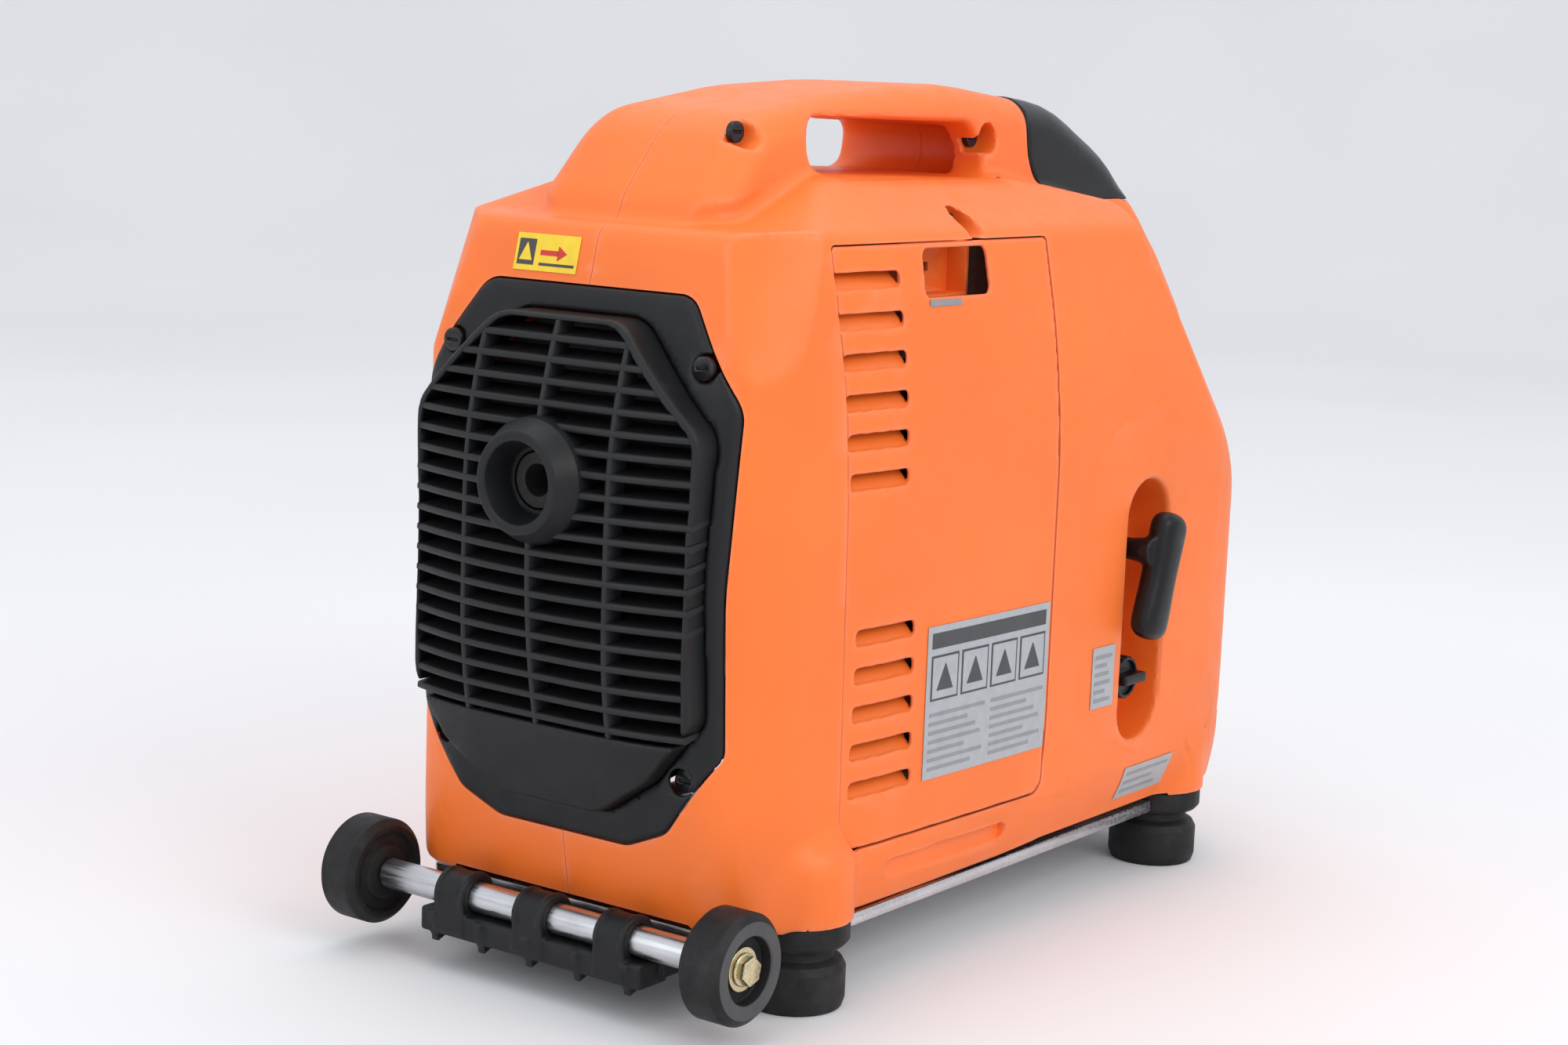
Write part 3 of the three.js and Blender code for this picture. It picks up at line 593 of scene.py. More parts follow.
LOOKS = {
    "orange_plastic": moulded("orange_plastic", ORANGE, 0.43),
    "charcoal_plastic": moulded("charcoal_plastic", CHARCOAL, 0.46, grain=0.0002, variation=0.12,
                                wear=0.05, specular=0.3),
    "gloss_black": moulded("gloss_black", GLOSS_BLACK, 0.34, grain=0.00006, variation=0.1,
                           wear=0.04, specular=0.3),
    "rubber": rubbery("rubber", (0.009, 0.009, 0.0095), 0.62),
    "steel": brushed("steel", (0.66, 0.67, 0.69), 0.3, (1, 0.05, 1)),
    "zinc": brushed("zinc", (0.74, 0.66, 0.42), 0.3, (1, 1, 1), tint=0.2),
    "cast_metal": cast("cast_metal", (0.5, 0.51, 0.52), 0.5, 0.9),
    "copper": wound("copper", (0.62, 0.23, 0.07), 0.0012),
    "pale_plastic": moulded("pale_plastic", (0.72, 0.72, 0.67), 0.5, wear=0.1),
    "cord": wound("cord", (0.03, 0.03, 0.032), 0.0009),
    "label": foil("label", (0.44, 0.46, 0.48)),
    "yellow_label": foil("yellow_label", (0.9, 0.62, 0.03), metallic=0.0),
    "red_plastic": moulded("red_plastic", (0.55, 0.02, 0.015), 0.3, wear=0.1),
    "green_lens": moulded("green_lens", (0.05, 0.42, 0.12), 0.18, wear=0.0),
    "print": foil("print", (0.05, 0.052, 0.056), metallic=0.0),
    "print_grey": foil("print_grey", (0.27, 0.28, 0.3), metallic=0.0),
    "print_red": foil("print_red", (0.6, 0.03, 0.02), metallic=0.0),
    "print_yellow": foil("print_yellow", (0.9, 0.62, 0.03), metallic=0.0),
    "wheel_face": rubbery("wheel_face", (0.065, 0.065, 0.07), 0.5),
    "sooty": cast("sooty", (0.028, 0.027, 0.026), 0.7, 0.2),
    "black_steel": brushed("black_steel", (0.035, 0.035, 0.038), 0.35, (1, 1, 1), metallic=0.7),
}
SLOT_OF = {row["node"]: row["material_slot"] for row in frame["record"]["subparts"]}
BEZEL_SCREWS = tuple(f"bezel_screw_{i}" for i in (1, 2, 3, 4))
CASING_SCREWS = tuple(f"casing_screw_{i}" for i in (1, 2, 3))
DARK_NODES = {name: "black_steel" for name in BEZEL_SCREWS + CASING_SCREWS}
DARK_NODES["tail_pipe"] = "sooty"


def look_of(node):
    return LOOKS[DARK_NODES.get(node, SLOT_OF[node])]


for node, part in frame["nodes"].items():
    part.data.materials.clear()
    part.data.materials.append(look_of(node))


# ------------------------ casing shells
SHELL_PITCH = 2.0
# How freely flat stretches of a surface are merged into larger faces.
FINE, COARSE = 0.01, 0.012
NOTCH_ROWS, NOTCH_LOW, NOTCH_PITCH, NOTCH_HALF = 5, 101, 22, 4.5
NOTCH_SIDES = ((-170, -104), (104, 170))


def casing_with_openings():
    s = Space((REAR - 8, -160, SKIRT_LOW - 6), (FRONT + 8, 160, TOP + 8), SHELL_PITCH)
    whole = with_recesses(s, with_bosses(s, casing(s)))
    walls = np.maximum(whole, -(whole + WALL))
    points, faces = s.surface(walls, COARSE)
    return mesh_object("casing", points, faces)


def notch_blocks():
    """The short louvres around both front corners."""
    rows = [NOTCH_LOW + NOTCH_PITCH * row for row in range(NOTCH_ROWS)]
    return [block(248, 320, *ys, z - NOTCH_HALF, z + NOTCH_HALF) for z in rows for ys in NOTCH_SIDES]


def make_shells():
    whole = casing_with_openings()
    cut(whole, prism("x", BEZEL, REAR - 40, -200, SEAM), prism("y", COVER, -200, -60, SEAM))
    cut(whole, prism("y", LID_EDGE, -LID_HALF - SEAM, LID_HALF + SEAM, SEAM))
    cut(whole, prism("x", PANEL, 270, 330, SEAM), prism("z", PLAN, 20, 51, -14))
    cut(whole, *notch_blocks())
    cut(whole, *(bar("y", at, PORT_R, -130, -100) for at in ((ROPE_X, ROPE_Z), (KNOB_X, KNOB_Z))))
    for x in FOOT_X:
        for y in (-FOOT_Y, FOOT_Y):
            cut(whole, bar("z", (x, y), FOOT_R + SEAM, 20, FOOT_TOP + SEAM))
    other = add_object("casing", whole.data.copy())
    keep(whole, block(-400, 400, -200, -0.2, 0, 600))
    keep(other, block(-400, 400, 0.2, 200, 0, 600))
    for shell, name in ((whole, "right_shell"), (other, "left_shell")):
        shell.name = name + "_skin"
        soften(shell)
        finish_piece(shell, "machine", name)


make_shells()


# ------------------------ pieces grown from distances
def grown(name, s, distance, adaptivity):
    points, faces = s.surface(distance, adaptivity)
    return mesh_object(name, points, faces)


SLOT_HALF = 4.5
SLOT_ROUND = 3
# Each group of cooling slots: how many, the first one's middle height, the step down, the left
# end and how it shifts, the length and how it changes.
UPPER_SLOTS = (6, 397, -21.5, -190, 3, 58, -1.6)
LOWER_SLOTS = (5, 203.5, -21.25, -165, -0.4, 51, 1)
VANE_HALF = 0.9
VANE_RISE = 0.9


def slot_places():
    """(left, right, middle height) of every cooling slot."""
    for count, z, pitch, x, shift, length, change in (UPPER_SLOTS, LOWER_SLOTS):
        for i in range(count):
            left = x + shift * i
            yield left, left + length + change * i, z + pitch * i


def make_service_cover():
    s = Space((-200, -154, 80), (28, -98, 422), 1.3)
    form = casing(s)
    cover = meet(1.0, form, s.along_y(COVER, -SEAM))
    cover = np.maximum(cover, -(form + WALL))
    vanes = np.full(s.shape, 9.0, np.float32)
    for left, right, z in slot_places():
        slot = s.along_y(rectangle(left, z - SLOT_HALF, right, z + SLOT_HALF, SLOT_ROUND))
        cover = meet(1.1, cover, -slot)
        tall = slab(s.z, z - SLOT_HALF - 2, z + SLOT_HALF + 3)
        reach = np.maximum(slab(s.x, left - 2, right + 2), tall)
        rise = (s.z - z + SLOT_HALF) * VANE_RISE + WALL
        vane = np.abs(-form - rise) / math.hypot(1, VANE_RISE) - VANE_HALF
        vanes = np.minimum(vanes, np.maximum(vane, reach))
    cover = meet(2.2, cover, -s.along_y(CHOKE_WINDOW))
    cover = np.minimum(cover, np.maximum(vanes, form + 1.5))
    made = grown("service_cover_skin", s, cover, FINE)
    finish_piece(made, "cover", "service_cover")


BEZEL_PROUD = 2
SCREW_PLACES = [(side * y, z) for side in (-1, 1) for y, z in ((88, 352), (85, 132))]


def make_bezel():
    s = Space((-272, -116, 84), (-196, 116, 394), 1.5)
    form = casing(s)
    bezel = meet(2.4, form - BEZEL_PROUD, s.along_x(BEZEL, -SEAM))
    bezel = np.maximum(bezel, -(form + WALL))
    bezel = np.maximum(bezel, s.x + 204)
    bezel = meet(1.6, bezel, -s.along_x(GRILLE_FRAME, 0.3))
    for y, z in SCREW_PLACES:
        bezel = meet(1.2, bezel, 7.4 - np.hypot(s.y - y, s.z - z))
    made = grown("exhaust_bezel_skin", s, bezel, COARSE)
    finish_piece(made, "machine", "exhaust_bezel")


# ------------------------ lofted shapes
def loft(rings, closed=False, capped=True):
    """The points and faces of a skin over rings of points, each anticlockwise about the way on."""
    count = len(rings[0])
    points = [p for ring in rings for p in ring]
    faces = []
    for row in range(len(rings) if closed else len(rings) - 1):
        here, there = row * count, (row + 1) % len(rings) * count
        for k in range(count):
            after = (k + 1) % count
            faces.append((here + k, here + after, there + after, there + k))
    if capped and not closed:
        last = (len(rings) - 1) * count
        faces += [tuple(range(count))[::-1], tuple(range(last, last + count))]
    return points, faces


def together(*shapes):
    """Several shapes of points and faces as one."""
    points, faces = [], []
    for some, their_faces in shapes:
        start = len(points)
        points += list(some)
        faces += [tuple(start + i for i in face) for face in their_faces]
    return points, faces


def turned(axis, at, profile, segments=72):
    """A turned shape. The profile is (radius, height) pairs: a closed loop, or from axis to axis."""
    def around(r, h, t):
        u, v = r * math.cos(t), r * math.sin(t)
        return {"x": (h, u, v), "y": (v, h, u), "z": (u, v, h)}[axis]

    rings = [[np.add(around(r, h, t), at) for r, h in profile] for t in whole_turn(segments)]
    return loft(rings, closed=True, capped=False)


def filleted(profile, radius, step=math.pi / 12):
    """A closed profile with every corner rounded."""
    return [tuple(p) for p in rounded([(r, h, radius) for r, h in profile], step=step)]


def solid_object(name, shape, degrees=35):
    """A mesh of a closed shape with its doubled points joined and its faces turned outwards."""
    made = mesh_object(name, *shape)
    bm = bmesh.new()
    bm.from_mesh(made.data)
    bmesh.ops.remove_doubles(bm, verts=bm.verts, dist=1e-6)
    bmesh.ops.dissolve_degenerate(bm, edges=bm.edges, dist=1e-7)
    bmesh.ops.recalc_face_normals(bm, faces=bm.faces)
    bm.to_mesh(made.data)
    bm.free()
    soften(made, degrees)
    return made


def bevelled(target, width, segments=2, degrees=30):
    modifier = target.modifiers.new("bevel", "BEVEL")
    modifier.width = width * MM
    modifier.segments = segments
    modifier.limit_method = "ANGLE"
    modifier.angle_limit = math.radians(degrees)
    modifier.harden_normals = True
    apply_modifiers(target)
    soften(target, 40)
    return target


# ------------------------ exhaust grille
GRILLE_TIP = -287
BOW_DEPTH = 20
RISE_DEPTH = 24
VENT_POINTS = rounded(VENT)
LOUVRES = 19
LOUVRE_LOW = 154
LOUVRE_PITCH = 11.3
BLADE_DEPTH = 24
RIBS = (-50, 0, 50)


def grille_face(y, z):
    """How far out the bowed face of the grille lies."""
    rise = np.where(z < 250, (z - 250) / 150, (z - 250) / 130)
    return GRILLE_TIP + np.sqrt((BOW_DEPTH * (y / 103) ** 2) ** 2 + (RISE_DEPTH * rise ** 2) ** 2)


def crossings(points, level, across):
    """Where an outline crosses a level: the heights at a y, or with across 1 the y at a height."""
    found = []
    for a, b in zip(points, np.roll(points, -1, axis=0)):
        if (a[across] > level) != (b[across] > level):
            along = (level - a[across]) / (b[across] - a[across])
            found.append(a[1 - across] + (b[1 - across] - a[1 - across]) * along)
    return min(found), max(found)


# Sections of a louvre, as (inwards, upwards), and of a rib, as (inwards, sideways).
BLADE_SECTION = (
    (0.0, -1.1), (0.5, -1.9), (1.4, -2.15), (BLADE_DEPTH, 2.2), (BLADE_DEPTH, 4.4), (2.6, 1.9),
    (1.0, 1.75), (0.2, 1.0),
)
RIB_SECTION = ((0, -1.0), (0.7, -1.7), (12, -2.1), (12, 2.1), (0.7, 1.7), (0, 1.0))


def blade(z):
    """One louvre: a slat with a rounded front that falls towards the outside."""
    low, high = crossings(VENT_POINTS, min(max(z, 155.5), 368.5), 1)
    rings = []
    for y in np.linspace(high + 3, low - 3, 34):
        x = grille_face(y, z) + 0.6
        rings.append([(x + dx, y, z + dz) for dx, dz in BLADE_SECTION])
    return loft(rings)


def rib(y):
    low, high = crossings(VENT_POINTS, y, 0)
    rings = []
    for z in np.linspace(low - 2, high + 2, 40):
        x = grille_face(y, z) + 1.0
        rings.append([(x + dx, y - dy, z) for dx, dy in RIB_SECTION])
    return loft(rings)


COLLAR_R = 34
COLLAR_PROFILE = [
    (22.5, -296), (27.5, -296), (34, -284), (35, -276), (35, -266), (17, -266), (17.5, -276),
]
SHROUD_PROFILE = [(16, -279), (19.5, -279), (21.5, -262), (16, -262)]


def make_grille():
    s = Space((-292, -108, 100), (-232, 108, 380), 1.5)
    face = (grille_face(s.y, s.z) - s.x) * 0.93
    frame_d = meet(1.8, face, s.along_x(GRILLE_FRAME, -0.5))
    frame_d = np.maximum(frame_d, -(frame_d + 5))
    frame_d = np.maximum(frame_d, s.x + 238)
    frame_d = meet(1.4, frame_d, -s.along_x(VENT, 0.5))
    frame_part = grown("grille_frame", s, frame_d, FINE)
    blades = [blade(LOUVRE_LOW + 4 + LOUVRE_PITCH * row) for row in range(LOUVRES)]
    ribs = [rib(y) for y in RIBS]
    bars = solid_object("grille_bars", together(*blades, *ribs), 50)
    cut(bars, bar("x", (0, EXHAUST_Z), COLLAR_R - 1, -310, -200))
    for part in (frame_part, bars):
        part.data.materials.append(LOOKS["charcoal_plastic"])
    made = join_objects("exhaust_grille_skin", [frame_part, bars])
    finish_piece(made, "machine", "exhaust_grille")


def make_mouth():
    """The round collar that the exhaust blows out of."""
    at = (0, 0, EXHAUST_Z)
    rim = turned("x", at, filleted(COLLAR_PROFILE, 1.6))
    shroud = turned("x", at, filleted(SHROUD_PROFILE, 0.6))
    made = solid_object("exhaust_collar_skin", together(rim, shroud), 50)
    finish_piece(made, "machine", "exhaust_collar")


SHIELD_FACE = -236
SHIELD_HOLE_R = 17


def make_heat_shield():
    """The dark plate behind the louvres that hides the muffler."""
    made = solid_object("heat_shield", prism("x", GRILLE_FRAME, SHIELD_FACE, SHIELD_FACE + 2, -6))
    cut(made, bar("x", (0, EXHAUST_Z), SHIELD_HOLE_R, -260, -200))
    bevelled(made, 0.5)
    made.data.materials.clear()
    made.data.materials.append(LOOKS["sooty"])
    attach(made, "machine")


# ------------------------ lid
def make_lid():
    s = Space((92, -73, 424), (300, 73, 514), 1.3)
    form = casing(s)
    lid = meet(1.4, form - 0.9, s.along_y(LID_EDGE, -0.3), np.abs(s.y) - LID_HALF + 0.3)
    lid = np.maximum(lid, -(form + 2.2))
    made = grown("fuel_lid_skin", s, lid, FINE)
    finish_piece(made, "lid", "fuel_lid")


# ------------------------ feet, wheels and axle
FOOT_PROFILE = [
    (9, 0), (26.6, 0), (28.3, 5), (28.3, 22.5), (26, 26.6), (21.5, 29), (21.5, 33.5), (27.5, 35.5),
    (FOOT_R, 38.5), (FOOT_R, FOOT_TOP), (9, FOOT_TOP),
]


def make_feet():
    for x, end in zip(FOOT_X, ("rear", "front")):
        for y, side in ((-FOOT_Y, "right"), (FOOT_Y, "left")):
            node_name = f"foot_{end}_{side}"
            shape = turned("z", (x, y, 0), filleted(FOOT_PROFILE, 1.3))
            made = solid_object(node_name + "_skin", shape, 60)
            finish_piece(made, "machine", node_name)


WHEEL_PROFILE = [
    (5.6, -13.5), (15, -13.5), (17, -10), (22, -10), (23.5, -13.5), (26.5, -13.5), (WHEEL_R, -9.5),
    (WHEEL_R, 9.5), (26.5, 13.5), (18.6, 13.5), (17.6, 6.5), (5.6, 6.5),
]
FACE_FROM, FACE_TO = 18.4, 26.2


def make_wheel(side, hand):
    profile = filleted([(r, h * side) for r, h in WHEEL_PROFILE][::side], 1.1)
    at = (WHEEL_X, side * WHEEL_Y, WHEEL_Z)
    made = solid_object(f"wheel_{hand}_skin", turned("y", at, profile, 96), 60)
    finish_piece(made, f"{hand}_wheel", f"wheel_{hand}")
    made.data.materials.append(LOOKS["wheel_face"])
    centre = spot(*at)
    for face in made.data.polygons:
        away = face.center - centre
        r = math.hypot(away.x, away.z) / MM
        if FACE_FROM < r < FACE_TO and away.y * side > (WHEEL_HALF - 1.5) * MM:
            face.material_index = 1


def make_axle_end(side, hand):
    at = (WHEEL_X, side * WHEEL_Y, WHEEL_Z)
    seat = WHEEL_HALF - 6.6

    def facing(profile):
        return [(r, h * side) for r, h in profile][::side]

    washer = facing([(5.4, seat), (12, seat), (12, seat + 1.8), (5.4, seat + 1.8)])
    made = solid_object(f"axle_washer_{hand}_skin", turned("y", at, filleted(washer, 0.4)), 50)
    finish_piece(made, "machine", f"axle_washer_{hand}")
    shank = facing([(0, -WHEEL_HALF - 26), (5, -WHEEL_HALF - 26), (5, seat + 2.4), (0, seat + 2.4)])
    flange = facing([(0, seat + 2.1), (9.2, seat + 2.1), (8.8, seat + 3.2), (0, seat + 3.4)])
    head = [(8 * math.cos(t + 0.3), 8 * math.sin(t + 0.3), 0.6) for t in whole_turn(6)]
    points = [(at[0] + u, at[2] + v, r) for u, v, r in head]
    levels = sorted((at[1] + side * (seat + 3), at[1] + side * (seat + 8)))
    hexagon = prism("y", points, *levels)
    bolt = together(turned("y", at, shank), turned("y", at, flange), hexagon)
    made = solid_object(f"axle_bolt_{hand}_skin", bolt)
    bevelled(made, 0.5)
    finish_piece(made, "machine", f"axle_bolt_{hand}")


def make_axle():
    half = WHEEL_Y - WHEEL_HALF - 1.5
    tube = filleted([(5.4, -half), (8.5, -half), (8.5, half), (5.4, half)], 0.5)
    made = solid_object("axle_tube_skin", turned("y", (WHEEL_X, 0, WHEEL_Z), tube), 50)
    finish_piece(made, "machine", "axle_tube")
    for side, hand in ((-1, "right"), (1, "left")):
        make_wheel(side, hand)
        make_axle_end(side, hand)


CLAMPS = (-58, 0, 58)
TEETH = (-70, -35, 0, 35, 70)
TOOTH = [(-280, 34, 0), (-276, 16, 0.5), (-262, 21.2, 0), (-262, 34, 0)]


def rounded_block(s, x0, x1, y0, y1, z0, z1, r):
    gaps = [np.maximum(low - v, v - high) + r
            for v, low, high in ((s.x, x0, x1), (s.y, y0, y1), (s.z, z0, z1))]
    most = np.maximum(np.maximum(gaps[0], gaps[1]), gaps[2])
    return np.sqrt(sum(np.maximum(g, 0) ** 2 for g in gaps)) + np.minimum(most, 0) - r


def make_bracket():
    s = Space((-284, -88, 12), (-202, 88, 62), 0.9)
    body = join(1.5, rounded_block(s, -262, -206, -84, 84, 25, 37.4, 2),
                rounded_block(s, -278, -254, -80, 80, 21, 35, 2))
    round_axle = s.bar_along_y(WHEEL_X, WHEEL_Z)
    for y in CLAMPS:
        grip = np.maximum(round_axle - 13, np.abs(s.y - y) - 11)
        stem = rounded_block(s, WHEEL_X - 13, WHEEL_X + 12, y - 11, y + 11, 24, WHEEL_Z, 1)
        rim = np.maximum(round_axle - 13.9, np.abs(np.abs(s.y - y) - 8.6) - 1.6)
        body = join(1.6, body, np.minimum(np.minimum(grip, stem), rim))
    for y in TEETH:
        body = join(1.0, body, np.maximum(s.along_y(TOOTH), np.abs(s.y - y) - 2.5))
    body = np.maximum(body, 8.8 - round_axle)
    made = grown("wheel_bracket_skin", s, body, FINE)
    finish_piece(made, "machine", "wheel_bracket")


# ------------------------ starter grip and fuel knob
GRIP_AT = (126, -156, 206)
GRIP_TILT = 0.3
GRIP_HALF = 29
GRIP_R = 11
GRIP_WIDTH = 1.28
GRIP_THICKNESS = 9.3
GRIP_POWER = 2.4


def make_grip():
    s = Space((95, -170, 160), (158, -124, 252), 0.9)
    x, z = s.x - GRIP_AT[0], s.z - GRIP_AT[2]
    along = z * math.cos(GRIP_TILT) + x * math.sin(GRIP_TILT)
    across = x * math.cos(GRIP_TILT) - z * math.sin(GRIP_TILT)
    waist = 1 - 0.05 * np.cos(np.clip(along / GRIP_HALF, -1, 1) * math.pi)
    beyond = np.maximum(np.abs(along) - GRIP_HALF, 0)
    deep = (s.y - GRIP_AT[1]) * GRIP_R / GRIP_THICKNESS
    across = np.abs(across / GRIP_WIDTH / waist)
    total = across ** GRIP_POWER + np.abs(deep) ** GRIP_POWER + beyond ** GRIP_POWER
    bar_d = total ** (1 / GRIP_POWER) - GRIP_R
    stem = s.bar_along_y(ROPE_X, ROPE_Z)
    neck = np.maximum(stem - 6.8 - 1.2 * np.clip((-140 - s.y) / 10, 0, 1), slab(s.y, GRIP_AT[1], -128))
    made = grown("starter_grip_skin", s, join(3, bar_d * 0.85, meet(1.0, neck, neck - 2)), FINE)
    finish_piece(made, "grip", "starter_grip")


KNOB_R = 13.6


def make_knob():
    s = Space((102, -150, 122), (140, -117, 158), 0.8)
    away = s.bar_along_y(KNOB_X, KNOB_Z)
    dial = meet(1.5, away - KNOB_R, slab(s.y, -141, -121))
    ribs = 0.5 * np.cos(np.arctan2(s.z - KNOB_Z, s.x - KNOB_X) * 18)
    dial = np.maximum(dial, away - 13.2 + ribs)
    wing = rounded_block(s, KNOB_X - 13, KNOB_X + 13, -147.5, -136, KNOB_Z - 3.2, KNOB_Z + 3.2, 1.4)
    dish = np.maximum(away - 11, -(s.y + 138.5))
    body = join(0.8, np.maximum(dial, -np.maximum(away - 10.8, s.y + 138)), wing)
    body = np.minimum(body, np.maximum(dish, s.y + 134))
    made = grown("fuel_knob_skin", s, body, FINE)
    finish_piece(made, "valve_knob", "fuel_knob")


ROPE_R = 2
ROPE_FROM, ROPE_TO = -98.4, -128.4
ROPE_RINGS = 160


def make_rope():
    """The starter rope between the casing and the grip."""
    rings = [[(ROPE_X + ROPE_R * math.cos(t), y, ROPE_Z + ROPE_R * math.sin(t)) for t in whole_turn(16)]
             for y in np.linspace(ROPE_FROM, ROPE_TO, ROPE_RINGS)]
    made = solid_object("starter_rope_skin", loft(rings), 60)
    made.data.materials.append(LOOKS["cord"])
    start, end = (spot(ROPE_X, y, ROPE_Z) for y in (ROPE_FROM - 1, ROPE_TO + 1))
    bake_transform(made)
    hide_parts("starter_rope")


# ------------------------ small pieces
# CAD nodes that keep their form but get rounded edges: node, body and edge width.
REFINED = (
    ("control_panel", "machine", 0.6), ("ac_socket_1", "machine", 0.7), ("ac_socket_2", "machine", 0.7),
    ("dc_socket", "machine", 0.6), ("lamp_strip", "machine", 0.3), ("breaker_button", "breaker", 0.8),
    ("engine_switch", "engine_rocker", 0.6), ("economy_switch", "economy_rocker", 0.6),
    ("fuel_cap", "cap", 1.0), ("choke_guide", "machine", 0.5), ("choke_lever", "choke", 0.7),
    ("base_pan", "machine", 0.9), ("rope_guide", "machine", 0.5),
    *((name, "machine", 0.4) for name in BEZEL_SCREWS + CASING_SCREWS),
)


def refine(node, body, width):
    source = frame["nodes"][node]
    made = add_object(node + "_skin", source.data.copy())
    made.matrix_world = source.matrix_world.copy()
    bm = bmesh.new()
    bm.from_mesh(made.data)
    bmesh.ops.remove_doubles(bm, verts=bm.verts, dist=1e-6)
    bmesh.ops.dissolve_limit(bm, angle_limit=math.radians(0.5), verts=bm.verts, edges=bm.edges)
    bm.to_mesh(made.data)
    bm.free()
    bevelled(made, width)
    finish_piece(made, body, node)


# ------------------------ labels and their printing
SKIN_PITCH = 1.5
PAPER = 0.3


class Skin:
    """The casing's face seen along an axis from its low end, as a height over the other two axes."""

    def __init__(self, axis, low, high):
        self.axis = "xyz".index(axis)
        s = Space(low, high, SKIN_PITCH)
        form = np.moveaxis(np.broadcast_to(casing(s), s.shape), self.axis, 0)
        under = np.maximum(np.argmax(form < 0, axis=0), 1)
        before, after = (np.take_along_axis(form, k[None], 0)[0] for k in (under - 1, under))
        self.height = low[self.axis] + (under - 1 + before / (before - after)) * SKIN_PITCH
        self.start = np.delete(np.array(low, float), self.axis)

    def at(self, u, v, lift):
        """The point at (u, v) that stands lift clear of the casing."""
        place_in = (np.array([u, v]) - self.start) / SKIN_PITCH
        i, j = place_in.astype(int)
        a, b = place_in - (i, j)
        grid = self.height[i:i + 2, j:j + 2]
        near, far = (grid[0, k] * (1 - a) + grid[1, k] * a for k in (0, 1))
        level = near * (1 - b) + far * b
        return tuple(np.insert([u, v], self.axis, level - lift))


def patch(skin, look, lift, low, high, step=3.0):
    """A thin piece on the casing between two edges, each (left, right, height)."""
    rows = max(2, int(abs(high[2] - low[2]) / step))
    columns = max(2, int(abs(low[1] - low[0]) / step))
    rings = []
    for t in np.linspace(0, 1, rows + 1):
        left, right, v = (a + (b - a) * t for a, b in zip(low, high))
        across = np.linspace(left, right, columns + 1)
        front = [skin.at(u, v, lift) for u in across]
        back = [skin.at(u, v, lift - PAPER) for u in across[::-1]]
        rings.append(front + back)
    made = solid_object("patch", loft(rings), 60)
    made.data.materials.append(LOOKS[look])
    return made


def oblong(skin, look, lift, x0, z0, x1, z1):
    return patch(skin, look, lift, (x0, x1, z0), (x0, x1, z1))


def sticker(name, parts, body, slot, *nodes):
    made = join_objects(name, parts)
    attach(made, body)
    if nodes:
        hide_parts(*nodes)


def print_lines(skin, look, x0, x1, top, count, pitch, height, lift):
    """Lines of print as bars of uneven length."""
    for i in range(count):
        right = x0 + (x1 - x0) * (0.82 + 0.18 * math.cos(2.4 * i))
        z = top - pitch * i
        yield oblong(skin, look, lift, x0, z - height, right, z)


BASE_LIFT = 0.55
PRINT_LIFT = 0.7
SIGN_LIFT = 0.85
PICTOGRAMS = 4
PICTOGRAM_LINE = 1.3
TIP = 0.2


def side_skin(x0, z0, x1, z1):
    """The starter side's face around a label."""
    return Skin("y", (x0 - 6, -160, z0 - 6), (x1 + 6, -90, z1 + 6))


def pictogram(skin, left, top, side):
    """A framed sign with a plain triangle."""
    line = PICTOGRAM_LINE
    yield oblong(skin, "print", PRINT_LIFT, left, top - side, left + side, top)
    inner = (left + line, top - side + line, left + side - line, top - line)
    yield oblong(skin, "label", SIGN_LIFT, *inner)
    middle = left + side / 2
    foot = (middle - side * 0.3, middle + side * 0.3, top - side * 0.78)
    tip = (middle - TIP, middle + TIP, top - side * 0.2)
    yield patch(skin, "print", SIGN_LIFT + 0.15, foot, tip)


def make_info_label():
    x0, z0, x1, z1 = INFO_LABEL
    skin = side_skin(*INFO_LABEL)
    parts = [oblong(skin, "label", BASE_LIFT, x0, z0, x1, z1)]
    parts.append(oblong(skin, "print", PRINT_LIFT, x0 + 4, z1 - 13, x1 - 4, z1 - 4))
    side = (x1 - x0 - 8 - 3 * (PICTOGRAMS - 1)) / PICTOGRAMS
    for i in range(PICTOGRAMS):
        parts += pictogram(skin, x0 + 4 + i * (side + 3), z1 - 17, side)
    half = (x0 + x1) / 2
    for left, right in ((x0 + 4, half - 3), (half + 3, x1 - 4)):
        parts += print_lines(skin, "print_grey", left, right, z0 + 38, 7, 5.2, 2.2, PRINT_LIFT)
    sticker("info_label_skin", parts, "cover", "label", "info_label")


def make_warning_label():
    y0, z0, y1, z1 = WARNING_LABEL
    skin = Skin("x", (-275, y0 - 6, z0 - 6), (-200, y1 + 6, z1 + 6))
    parts = [oblong(skin, "yellow_label", BASE_LIFT, y0, z0, y1, z1)]
    parts.append(oblong(skin, "print", PRINT_LIFT, y1 - 14, z0 + 3, y1 - 2, z1 - 3))
    apex = y1 - 8
    foot, tip = (apex - 4.6, apex + 4.6, z0 + 5.5), (apex - TIP, apex + TIP, z1 - 5)
    parts.append(patch(skin, "print_yellow", SIGN_LIFT, foot, tip))
    middle = (z0 + z1) / 2
    parts.append(oblong(skin, "print_red", PRINT_LIFT, y0 + 14, middle - 1.4, y1 - 18, middle + 1.4))
    wide, back = (y0 + 8, y0 + 14.5), (y0 + 14.4, y0 + 14.5)
    parts.append(patch(skin, "print_red", PRINT_LIFT, (*wide, middle), (*back, middle + 4)))
    parts.append(patch(skin, "print_red", PRINT_LIFT, (*back, middle - 4), (*wide, middle)))
    parts += print_lines(skin, "print", y0 + 2, y1 - 18, z0 + 4.5, 1, 3, 1.5, PRINT_LIFT)
    sticker("warning_label_skin", parts, "machine", "yellow_label", "warning_label")


